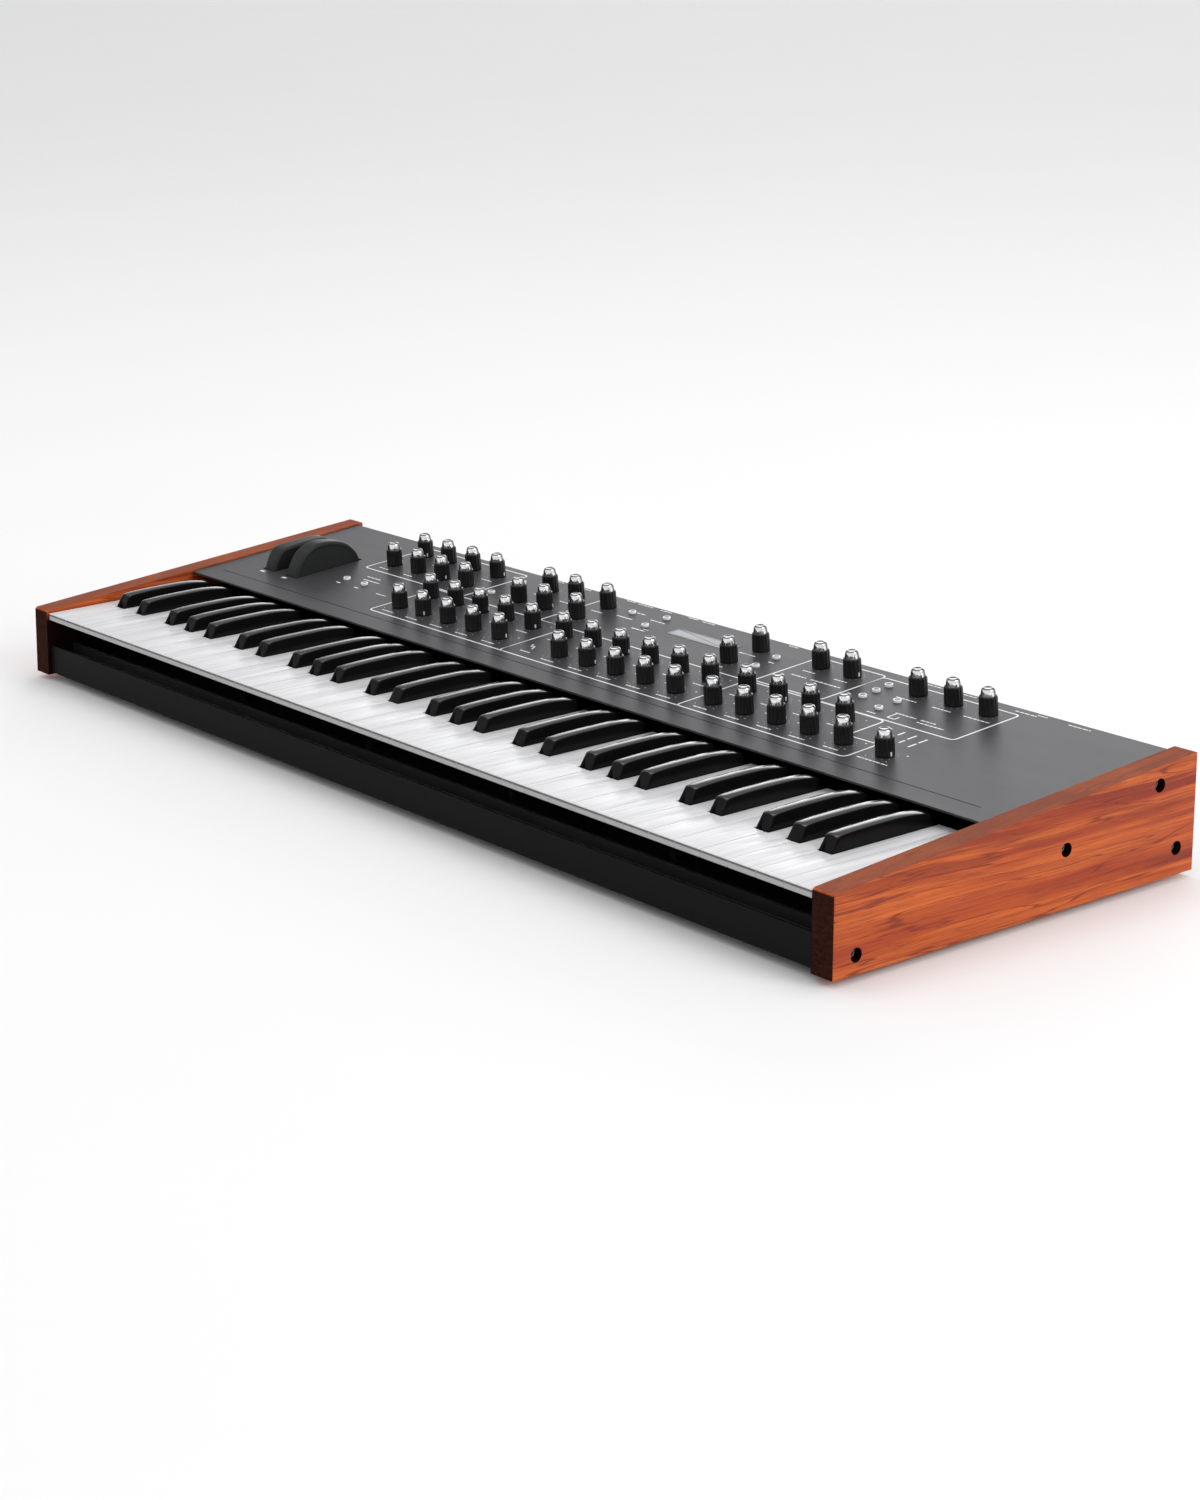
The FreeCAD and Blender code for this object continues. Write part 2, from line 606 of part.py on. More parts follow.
# white keys of an octave, with the sharps that cut into their left and right sides
WHITES = [("c", None, "c_sharp"), ("d", "c_sharp", "d_sharp"), ("e", "d_sharp", None),
          ("f", None, "f_sharp"), ("g", "f_sharp", "g_sharp"), ("a", "g_sharp", "a_sharp"),
          ("b", "a_sharp", None)]
NECK_CLEAR = DIM["black_wide"] / 2 + 1.0    # from a black key's centre to a white key's neck


def neck_span(index, left, right, gap=0.0):
    """Left and right sides of a white key's neck, from the left of the octave."""
    return (SHARPS[left] + NECK_CLEAR if left else index * KEY_PITCH + gap,
            SHARPS[right] - NECK_CLEAR if right else (index + 1) * KEY_PITCH - gap)


def key_stem(body, label, x, front, step, step_low, wide):
    """Bar back to the pivot rod, with a higher part behind the step, and its rod hole."""
    stem_bottom, stem_top, tail = 38, 48.6, "pivot_back+5"
    sketch = new_sketch(body, label + "_stem_side", "YZ_Plane", x)
    side_polygon(sketch, [(front, stem_bottom), (tail, stem_bottom), (tail, stem_top),
                          (step, stem_top), (step, step_low), (front, step_low)])
    stem = pad(body, sketch, wide, mid=True, name=label + "_stem")
    sketch = new_sketch(body, label + "_pivot", "YZ_Plane", x)
    circles(sketch, [(from_front("pivot_back"), above_base("pivot_high"))], "pivot_hole")
    return [stem, pocket(body, sketch, 40, mid=True, name=label + "_pivot_cut")]


def repeat_octaves(body, features, label):
    repeat_along_x(body, features, "key_pitch*7*%d" % (OCTAVES - 1), OCTAVES,
                   label + "_octaves")


def white_key(label, index, left, right, octave_left=KEYS_LEFT, repeat=True):
    """index: place in the octave; left and right: the sharps that cut into it, or None."""
    gap = DIM["white_gap"]
    x0 = octave_left + index * KEY_PITCH + gap
    x1 = octave_left + (index + 1) * KEY_PITCH - gap
    neck0, neck1 = [octave_left + x for x in neck_span(index, left, right, gap)]
    front, back = from_front("white_front"), from_front("white_back")
    head_back = from_front("white_front+head_deep")
    points = [(x0, front), (x1, front)]
    points += [(x1, head_back), (neck1, head_back), (neck1, back)] if right else [(x1, back)]
    points += [(neck0, back), (neck0, head_back), (x0, head_back)] if left else [(x0, back)]

    body = new_body(label, many=True)
    sketch = new_sketch(body, label + "_plan", "XY_Plane", above_base("white_top-white_lip"))
    polygon(sketch, points)
    plate = pad(body, sketch, "white_lip", name=label + "_top")
    top_z = frame_z(DIM["white_top"])
    soft = round_edges(body, "key_round", lambda edge: edge.BoundBox.ZLength < 0.01
                       and abs(edge.CenterOfMass.z - top_z) < 0.01
                       and edge.CenterOfMass.y < frame_y(DIM["white_back"]) - 1,
                       label + "_edge")
    stem = key_stem(body, label, (neck0 + neck1) / 2, front=34, step="white_back-2",
                    step_low="white_top-white_lip+0.6", wide="stem_wide")
    if repeat:
        repeat_octaves(body, [plate, soft] + stem, label)


# side outline of a black key: distance behind the front, height above the base
BLACK_OUTLINE = [
    ("black_front", 44), ("black_front", "white_top+0.6"),
    ("black_front+4.6", "white_top+black_rise-2.6"),
    ("black_front+7.5", "white_top+black_rise-1.9"),
    ("black_front+20", "white_top+black_rise-1.2"),
    ("black_front+38", "white_top+black_rise-0.4"),
    ("black_front+56", "white_top+black_rise"),
    ("black_back-16", "white_top+black_rise-0.7"),
    ("black_back-6", "white_top+black_rise-2.2"),
    ("black_back", "white_top+black_rise-4.2"),
    ("black_back+4", "white_top-2"), ("black_back+4", 44)]


def black_key(label, sharp):
    body = new_body(label, many=True)
    x = KEYS_LEFT + SHARPS[sharp]
    sketch = new_sketch(body, label + "_side", "YZ_Plane", x)
    side_polygon(sketch, BLACK_OUTLINE)
    block = pad(body, sketch, "black_wide", mid=True, name=label + "_block")
    # both sides taper from the level of the white keys up
    sketch = new_sketch(body, label + "_taper", "XZ_Plane", "-(black_back-depth_all/2)")
    half, half_top = DIM["black_wide"] / 2, DIM["black_top_wide"] / 2
    low, high = above_base("white_top"), above_base("white_top+black_rise+2")
    for side in (-1, 1):
        polygon(sketch, [(x + side * half, low), (x + side * (half + 2), low),
                         (x + side * (half + 2), high), (x + side * half_top, high)])
    taper = pocket(body, sketch, 400, mid=True, name=label + "_taper_cut")
    soft = round_edges(body, 1.1, lambda edge:
                       edge.CenterOfMass.z > frame_z(DIM["white_top"]) + 2.5
                       and edge.BoundBox.YLength > 0.5 and edge.BoundBox.XLength < 2.0
                       and edge.CenterOfMass.y > frame_y(DIM["black_front"]) + 0.2,
                       label + "_soft")
    stem = key_stem(body, label, x, front="black_front+6", step="black_back+2",
                    step_low=45, wide="stem_wide-0.6")
    repeat_octaves(body, [block, taper, soft] + stem, label)


def keys():
    for index, (letter, left, right) in enumerate(WHITES):
        white_key("white_keys_" + letter, index, left, right)
    white_key("white_key_top_c", 0, None, None, octave_left=TOP_C_LEFT, repeat=False)
    for sharp in SHARPS:
        black_key("black_keys_" + sharp, sharp)


# ---------------------------------------------------------------- keybed
KEYBED_FLOOR = 8
RIB_THICK = 1.8
# distance behind the front, height above the base
KEYBED_SECTION = [
    (10, 5), ("pivot_back+7", 5), ("pivot_back+7", 14), ("pivot_back-7", 14),
    ("pivot_back-7", KEYBED_FLOOR), (26, KEYBED_FLOOR), (26, 23.5), (23, 23.5),
    (23, KEYBED_FLOOR), (13, KEYBED_FLOOR), (13, 21), (10, 21)]
RIB_SECTION = [("pivot_back-7", 13), ("pivot_back+7", 13),
               ("pivot_back+6", 49), ("pivot_back-6", 49)]


def keybed_rib(body, x, rib_sketch, rib_name, hole_sketch):
    """Upright rib centred on x, with its hole for the pivot rod."""
    left = x - RIB_THICK / 2
    sketch = new_sketch(body, rib_sketch, "YZ_Plane", left)
    side_polygon(sketch, RIB_SECTION)
    rib = pad(body, sketch, RIB_THICK, name=rib_name)
    sketch = new_sketch(body, hole_sketch, "YZ_Plane", left)
    circles(sketch, [(from_front("pivot_back"), above_base("pivot_high"))], "pivot_hole")
    return [rib, pocket(body, sketch, RIB_THICK, rev=True, name=hole_sketch + "_cut")]


def keybed_frame():
    body = new_body("keybed_frame", many=True)
    sketch = new_sketch(body, "keybed_section", "YZ_Plane")
    side_polygon(sketch, KEYBED_SECTION)
    pad(body, sketch, "inner_wide-3", mid=True, name="keybed_extrusion")
    # a rib at each end of every octave, and one right of the top C
    rib = keybed_rib(body, KEYS_LEFT, "keybed_ribs", "keybed_rib", "rod_hole")
    repeat_along_x(body, rib, "key_pitch*7*%d" % OCTAVES, OCTAVES + 1, "keybed_rib_row")
    keybed_rib(body, TOP_C_LEFT + KEY_PITCH, "keybed_end_rib", "keybed_last_rib",
               "last_rod_hole")


def key_pivot_rod():
    rod = doc.addObject("Part::Cylinder", "key_pivot_rod")
    rod.Label = "key_pivot_rod"
    rod.Radius = DIM["pivot_rad"]
    bind(rod, "Radius", "pivot_rad")
    length = "inner_wide-1"
    rod.Height = value(length)
    bind(rod, "Height", length)
    rod.Placement = Placement(Vector(-value(length) / 2, frame_y(DIM["pivot_back"]),
                                     frame_z(DIM["pivot_high"])), Rotation(BACK, 90))
    NODES.append(rod)


def key_contacts():
    """Contact board on its legs, and the rubber strip with one dome a white key."""
    half_long = 418
    board_low = 18
    board_top = board_low + DIM["pcb_thick"]
    board = box(-half_long, half_long, frame_y(58), frame_y(112),
                frame_z(board_low), frame_z(board_top))
    legs = [cylinder(3.0, board_low - KEYBED_FLOOR, Vector(x, frame_y(y), frame_z(KEYBED_FLOOR)))
            for x in range(-400, 401, 160) for y in (64, 106)]
    feature("key_contact_board", board.multiFuse(legs).removeSplitter())

    strip_top = board_top + 1.8
    strip = box(-half_long, half_long, frame_y(70), frame_y(90),
                frame_z(board_top), frame_z(strip_top))
    base_rad, top_rad, dome_high = 4.0, 2.6, 4.0
    domes = [Part.makeCone(base_rad, top_rad, dome_high,
                           Vector(KEYS_LEFT + (k + 0.5) * KEY_PITCH, frame_y(80),
                                  frame_z(strip_top)))
             for k in range(7 * OCTAVES + 1)]
    feature("contact_rubber_strip", strip.multiFuse(domes))


def key_felt_strips():
    # front, back and top of each strip, which lies on the keybed floor
    strips = [(26.2, 34, 11), (14, 22, 12), (140, 152, 11)]
    feature("key_felt_strips", [box(-417, 417, frame_y(front), frame_y(back),
                                    frame_z(KEYBED_FLOOR), frame_z(top))
                                for front, back, top in strips])


# outline of a leaf spring: distance behind the front, height above the base
LEAF_OUTLINE = [(166, 14), (170, 14), (170, 14.6), (165.6, 14.6),
                (132, 33.6), (126, 33.6), (126, 33.0), (131.8, 33.0)]
LEAF_WIDE = 4


def key_return_springs():
    """One leaf spring under each key."""
    offsets = list(SHARPS.values())
    for index, (_, left, right) in enumerate(WHITES):
        offsets.append(sum(neck_span(index, left, right)) / 2)
    centres = [KEYS_LEFT + k * OCTAVE + offset for k in range(OCTAVES) for offset in offsets]
    centres.append(TOP_C_LEFT + KEY_PITCH / 2)
    leaves = []
    for x in sorted(centres):
        outline = [Vector(x - LEAF_WIDE / 2, frame_y(y), frame_z(z))
                   for y, z in LEAF_OUTLINE + LEAF_OUTLINE[:1]]
        leaves.append(Part.Face(Part.makePolygon(outline)).extrude(RIGHT * LEAF_WIDE))
    feature("key_return_springs", leaves)


# ---------------------------------------------------------------- electronics
MAIN_LOW, VOICE_LOW = 9.0, 26.0     # undersides of the two boards above the base
MAIN_TOP = MAIN_LOW + DIM["pcb_thick"]
VOICE_TOP = VOICE_LOW + DIM["pcb_thick"]
# left x, front y, width, depth, height
MAIN_PARTS = [
    (-280, 60, 24, 24, 2.4), (-230, 60, 14, 20, 1.8), (-190, 100, 14, 14, 1.8),
    (-120, 60, 30, 18, 2.4), (-60, 100, 20, 20, 2.0), (0, 60, 18, 30, 2.2),
    (60, 110, 22, 14, 4.0), (120, 60, 26, 26, 2.4), (200, 90, 30, 10, 8.0),
    (-299, 112, 8, 20, 8.0), (170, 120, 16, 12, 6.0)]
# two rows of six, same columns
VOICE_PARTS = [(-270 + 44 * i, 50 + 38 * j, 14, 22, 2.6) for i in range(6) for j in range(2)]


def circuit_board(label, x0, x1, y0, y1, low, top, parts):
    board = box(x0, x1, y0, y1, frame_z(low), frame_z(top))
    chips = [box(x, x + wide, y, y + deep, frame_z(top), frame_z(top + high))
             for x, y, wide, deep, high in parts]
    feature(label, board.multiFuse(chips).removeSplitter())


def board_standoffs():
    radius = 2.6
    # bottom, top, places along X, places along Y
    groups = [(FLOOR_TOP, MAIN_LOW, (-292, -100, 60, 240), (38.5, 141)),
              (MAIN_TOP, VOICE_LOW, (-282, -150, -20), (44, 120))]
    feature("board_standoffs", [cylinder(radius, top - low, Vector(x, y, frame_z(low)))
                                for low, top, places_x, places_y in groups
                                for x in places_x for y in places_y])


def power_supply():
    """Hollow box with eleven slots through its top."""
    case = box(282, 402, 40, 112, frame_z(FLOOR_TOP), frame_z(34))
    case = case.cut(box(284, 400, 42, 110, frame_z(6), frame_z(32)))
    slot_pitch, slot_wide = 9.4, 4
    for i in range(11):
        x = 292 + slot_pitch * i
        case = case.cut(box(x, x + slot_wide, 52, 100, frame_z(30), frame_z(36)))
    feature("power_supply", case)


def ribbon_cables():
    wide = 34
    feature("ribbon_cables", [box(x, x + wide, 148.2, 149.2, frame_z(12), frame_z(52))
                              for x in (-297, -92, 162)])


# ---------------------------------------------------------------- rear sockets
JACK_Z = DIM["jack_z"]
WALL_IN = -DIM["sheet_thick"]       # inner face of the rear wall, from its outer face


def wall_box(x, half_wide, front, back, half_high, rise=0.0):
    """Box centred on x and on the socket line; front and back from the wall's outer face."""
    z = JACK_Z + rise
    return box(x - half_wide, x + half_wide, WALL_Y + front, WALL_Y + back,
               z - half_high, z + half_high)


def wall_cylinder(x, radius, front, length, rise=0.0):
    return cylinder(radius, length, Vector(x, WALL_Y + front, JACK_Z + rise), BACK)


def audio_jack(x):
    jack = wall_box(x, half_wide=8, front=-30, back=WALL_IN, half_high=8)
    jack = jack.fuse(wall_cylinder(x, DIM["jack_bush"], front=WALL_IN - 0.2, length=5.6))
    nut_rad, nut_thick = 7.2, 2.2
    corners = [Vector(x + nut_rad * math.cos(math.radians(60 * k)), WALL_Y,
                      JACK_Z + nut_rad * math.sin(math.radians(60 * k))) for k in range(7)]
    nut = Part.Face(Part.makePolygon(corners)).extrude(BACK * nut_thick)
    bore = wall_cylinder(x, DIM["jack_bore"], front=-28, length=32.0)
    return jack.fuse(nut).cut(bore).removeSplitter()


def midi_socket(x):
    """Round socket with five pin holes over its upper half."""
    socket = wall_box(x, half_wide=10, front=-16, back=WALL_IN, half_high=9.75, rise=-0.25)
    socket = socket.fuse(wall_cylinder(x, MIDI_RING_RAD, front=WALL_IN - 0.2, length=2.4))
    socket = socket.cut(wall_cylinder(x, 6.9, front=-6, length=7.0))
    pin_circle, pin_rad = 4.4, 0.8
    for degrees in (0, 45, 90, 135, 180):
        angle = math.radians(degrees)
        socket = socket.cut(wall_cylinder(x + pin_circle * math.cos(angle), pin_rad, front=-13,
                                          length=8.0, rise=pin_circle * math.sin(angle)))
    return socket.removeSplitter()


def usb_socket(x):
    shell = wall_box(x, half_wide=6.1, front=-17, back=0.6, half_high=5.5)
    shell = shell.cut(wall_box(x, half_wide=4.4, front=-10, back=1, half_high=4.0))
    tongue = wall_box(x, half_wide=2.9, front=-11, back=-0.6, half_high=1.6)
    return shell.fuse(tongue).removeSplitter()


def mains_inlet(x):
    inlet = wall_box(x, half_wide=13.8, front=-24, back=0, half_high=9.8)
    inlet = inlet.fuse(wall_box(x, half_wide=16.5, front=0, back=2.2, half_high=12.4))
    inlet = inlet.cut(wall_box(x, half_wide=12, front=-16, back=4, half_high=8))
    for pin_x, rise in ((-7, -1.5), (7, -1.5), (0, 2.5)):
        inlet = inlet.fuse(wall_box(x + pin_x, half_wide=1, front=-17, back=-2,
                                    half_high=2, rise=rise))
    return inlet.removeSplitter()


def rocker_housing(x):
    housing = wall_box(x, half_wide=9.9, front=-20, back=0, half_high=6.9)
    housing = housing.fuse(wall_box(x, half_wide=12, front=0, back=1.6, half_high=9))
    housing = housing.cut(wall_box(x, half_wide=8.6, front=-12, back=4, half_high=5.6))
    return housing.removeSplitter()


# side outline in the rocker's own frame: Y out of the rear wall, Z up
ROCKER_OUTLINE = [(-6.0, -2.6), (-1.0, -4.6), (2.6, -4.9), (1.2, 0.0),
                  (2.6, 4.9), (-1.0, 4.6), (-6.0, 2.6)]


def power_rocker():
    body = new_body("power_rocker")
    sketch = new_sketch(body, "rocker_section", "YZ_Plane")
    polygon(sketch, ROCKER_OUTLINE)
    pad(body, sketch, 15.6, mid=True, name="rocker_block")
    tilt = -6.5
    body.Placement = Placement(Vector(ROCKER_X, WALL_Y - 0.6, JACK_Z), Rotation(RIGHT, tilt))


# ---------------------------------------------------------------- feet and chassis screws
FOOT_PLACES = [(x * DIM["foot_x"], y * DIM["foot_y"]) for x in (-1, 1) for y in (-1, 1)]


def rubber_feet():
    recess_rad, recess_deep, hole_rad = 5.0, 3.6, 1.9
    feet = []
    for x, y in FOOT_PLACES:
        base = Vector(x, y, 0)
        foot = Part.makeCone(DIM["foot_rad"] - 1.2, DIM["foot_rad"],
                             FOOT_HIGH + DIM["tray_lift"], base)
        foot = foot.cut(cylinder(recess_rad, recess_deep, base))
        feet.append(foot.cut(cylinder(hole_rad, 20, base)))
    feature("rubber_feet", feet)


def chassis_screws():
    """Screws up through the feet, and screw heads on the panel's rear leg."""
    screws = []
    for x, y in FOOT_PLACES:
        base = Vector(x, y, 1.4)
        screw = cylinder(3.6, 2.2, base).fuse(cylinder(1.5, 4.9, base))
        screws.append(screw.cut(cylinder(1.1, 1.2, base)))
    below_panel, off_leg = 12.0, 0.25
    for x in (-390, -270, -80, 60, 230, 400):
        base = PANEL.multVec(Vector(x, DIM["panel_long"], -below_panel)) + BACK * off_leg
        socket = cylinder(1.3, 1.0, base + BACK * 0.6, BACK)
        screws.append(cylinder(3.4, 1.2, base, BACK).cut(socket))
    feature("chassis_screws", screws)


# ---------------------------------------------------------------- build
cheek("left_cheek", -1)
cheek("right_cheek", 1)
cheek_screws()
chassis_tray()
top_panel()
display()
panel_board()
knobs()
buttons("octave_buttons", OCTAVE_BUTTONS)
buttons("panel_buttons", PANEL_BUTTONS)
wheel("pitch_wheel", "pitch_x", lean=0)
wheel("mod_wheel", "mod_x", lean=11)
wheel_mounts()
keys()
keybed_frame()
key_pivot_rod()
key_contacts()
key_felt_strips()
key_return_springs()
circuit_board("main_board", -300, 250, 34, 146, MAIN_LOW, MAIN_TOP, MAIN_PARTS)
circuit_board("voice_board", -286, -16, 40, 124, VOICE_LOW, VOICE_TOP, VOICE_PARTS)
board_standoffs()
power_supply()
ribbon_cables()
feature("audio_jacks", [audio_jack(x) for x in JACK_X])
feature("data_sockets", [midi_socket(x) for x in MIDI_X] + [usb_socket(USB_X)])
feature("power_inlet", [mains_inlet(INLET_X), rocker_housing(ROCKER_X)])
power_rocker()
rubber_feet()
chassis_screws()

# ---------------------------------------------------------------- check and write
doc.recompute()
for obj in doc.Objects:
    if "Invalid" in obj.State or "Error" in obj.State:
        raise RuntimeError("%s: %s" % (obj.Label, obj.State))
os.makedirs("parts", exist_ok=True)
for old in os.listdir("parts"):
    if old.endswith(".step"):
        os.remove(os.path.join("parts", old))
for node in NODES:
    if node.Shape.isNull() or not node.Shape.isValid() or not node.Shape.Solids:
        raise RuntimeError("bad shape: " + node.Label)
    node.Shape.exportStep("parts/%s.step" % node.Label)
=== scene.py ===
import json
import math
import random

import bmesh
import bpy
from mathutils import Matrix, Vector


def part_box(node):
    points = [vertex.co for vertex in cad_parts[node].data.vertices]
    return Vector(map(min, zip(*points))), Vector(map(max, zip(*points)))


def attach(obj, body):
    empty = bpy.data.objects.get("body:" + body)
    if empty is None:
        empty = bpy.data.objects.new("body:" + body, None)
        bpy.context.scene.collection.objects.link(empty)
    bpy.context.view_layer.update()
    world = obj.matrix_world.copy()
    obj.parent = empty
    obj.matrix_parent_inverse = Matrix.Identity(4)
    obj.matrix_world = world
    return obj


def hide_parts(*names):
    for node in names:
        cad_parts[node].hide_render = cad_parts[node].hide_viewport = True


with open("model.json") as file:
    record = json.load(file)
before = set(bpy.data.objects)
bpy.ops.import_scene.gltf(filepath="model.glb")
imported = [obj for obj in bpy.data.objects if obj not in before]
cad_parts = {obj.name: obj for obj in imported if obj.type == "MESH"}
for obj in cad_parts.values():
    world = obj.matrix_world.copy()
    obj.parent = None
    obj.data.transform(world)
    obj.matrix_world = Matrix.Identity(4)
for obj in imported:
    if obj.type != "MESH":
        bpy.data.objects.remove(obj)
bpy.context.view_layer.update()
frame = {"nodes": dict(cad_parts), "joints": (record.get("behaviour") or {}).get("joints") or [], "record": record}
nodes = frame["nodes"]
joints = {j["name"]: j for j in frame["joints"]}
scene = bpy.context.scene
rng = random.Random(11)
MM = 0.001

# ------------------------------------------------------------------ the sloped panel's own frame
J = joints["turn_knob_cutoff"]
N_UP = Vector(J["axis"]).normalized()
S_UP = N_UP.cross(Vector((1, 0, 0))).normalized()
plate_lo, plate_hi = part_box("top_panel")
j0 = Vector(J["pos_m"])
PO = Vector((0, plate_lo.y, j0.z - (plate_lo.y - j0.y) * N_UP.y / N_UP.z))
PANEL = Matrix(((1, S_UP.x, N_UP.x, PO.x), (0, S_UP.y, N_UP.y, PO.y), (0, S_UP.z, N_UP.z, PO.z), (0, 0, 0, 1)))
PANEL_INV = PANEL.inverted()


def P(x, s, h=0.0):
    """Point on the panel, from millimetres across, up the slope and out of it."""
    return PANEL @ Vector((x * MM, s * MM, h * MM))


def clusters(node, gap=12.0):
    """Centres (mm, in the panel's frame) of the separate solids of a node that lie apart on the panel."""
    left = [PANEL_INV @ v.co for v in nodes[node].data.vertices]
    left = [(p.x / MM, p.y / MM) for p in left]
    out = []
    while left:
        cx, cy = left[0]
        for _ in range(3):
            near = [p for p in left if abs(p[0] - cx) < gap and abs(p[1] - cy) < gap]
            cx = (min(p[0] for p in near) + max(p[0] for p in near)) / 2
            cy = (min(p[1] for p in near) + max(p[1] for p in near)) / 2
        out.append((round(cx, 2), round(cy, 2)))
        left = [p for p in left if not (abs(p[0] - cx) < gap and abs(p[1] - cy) < gap)]
    return sorted(out, key=lambda p: (round(p[1] / 8), p[0]))


# ------------------------------------------------------------------ materials
class Mat:
    def __init__(self, name):
        self.m = bpy.data.materials.new(name)
        self.m.use_nodes = True
        self.t = self.m.node_tree
        self.t.nodes.clear()
        out = self.t.nodes.new("ShaderNodeOutputMaterial")
        self.b = self.t.nodes.new("ShaderNodeBsdfPrincipled")
        self.t.links.new(self.b.outputs[0], out.inputs[0])
        self.co = self.t.nodes.new("ShaderNodeTexCoord").outputs["Object"]

    def node(self, kind, ins=None, **props):
        nd = self.t.nodes.new("ShaderNode" + kind)
        for k, v in props.items():
            setattr(nd, k, v)
        for k, v in (ins or {}).items():
            self.put(nd.inputs[k], v)
        return nd

    def put(self, sock, v):
        if isinstance(v, bpy.types.NodeSocket):
            self.t.links.new(v, sock)
        else:
            sock.default_value = v

    def map(self, scale, rot=(0, 0, 0), vec=None, loc=(0, 0, 0)):
        return self.node("Mapping", {"Vector": vec or self.co, "Scale": scale, "Rotation": rot, "Location": loc}).outputs[0]

    def noise(self, scale, detail=4.0, rough=0.5, dist=0.0, vec=None):
        if isinstance(scale, tuple):
            vec, scale = self.map(scale, vec=vec), 1.0
        return self.node("TexNoise", {"Vector": vec or self.co, "Scale": scale, "Detail": detail,
                                      "Roughness": rough, "Distortion": dist}).outputs["Fac"]

    def ramp(self, fac, stops, interp="LINEAR"):
        nd = self.node("ValToRGB", {"Fac": fac})
        r = nd.color_ramp
        r.interpolation = interp
        while len(r.elements) < len(stops):
            r.elements.new(0.5)
        for e, (p, c) in zip(r.elements, stops):
            e.position = p
            e.color = (*c, 1) if len(c) == 3 else c
        return nd.outputs[0]

    def grey(self, fac, stops, interp="LINEAR"):
        return self.ramp(fac, [(p, (v, v, v)) for p, v in stops], interp)

    def mix(self, fac, a, b, blend="MIX"):
        nd = self.node("Mix", data_type="RGBA", blend_type=blend)
        self.put(nd.inputs[0], fac)
        for k, v in ((6, a), (7, b)):
            self.put(nd.inputs[k], (*v, 1) if isinstance(v, tuple) and len(v) == 3 else v)
        return nd.outputs[2]

    def math(self, op, a, b=0.0, c=0.0, clamp=False):
        nd = self.node("Math", operation=op, use_clamp=clamp)
        for k, v in enumerate((a, b, c)):
            self.put(nd.inputs[k], v)
        return nd.outputs[0]

    def xyz(self, vec=None):
        return self.node("SeparateXYZ", {"Vector": vec or self.co}).outputs

    def normal(self):
        return self.node("NewGeometry").outputs["Normal"]

    def bump(self, height, strength, dist, under=None):
        ins = {"Height": height, "Strength": strength, "Distance": dist}
        if under is not None:
            ins["Normal"] = under
        return self.node("Bump", ins).outputs[0]

    def set(self, **kw):
        names = {"color": "Base Color", "rough": "Roughness", "metal": "Metallic", "normal": "Normal", "ior": "IOR",
                 "coat": "Coat Weight", "coat_rough": "Coat Roughness", "spec": "Specular IOR Level", "sheen": "Sheen Weight",
                 "sheen_rough": "Sheen Roughness", "emit": "Emission Color", "emit_power": "Emission Strength",
                 "aniso": "Anisotropic", "sub": "Subsurface Weight", "sub_scale": "Subsurface Scale"}
        for k, v in kw.items():
            if isinstance(v, tuple) and len(v) == 3:
                v = (*v, 1)
            self.put(self.b.inputs[names[k]], v)
        return self.m


lo_s, hi_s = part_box("right_cheek")
HOLES = [(lo_s.y + a * MM, lo_s.z + b * MM) for a, b in ((19, 12.5), (202, 39), (288.5, 63.5), (307, 18))]


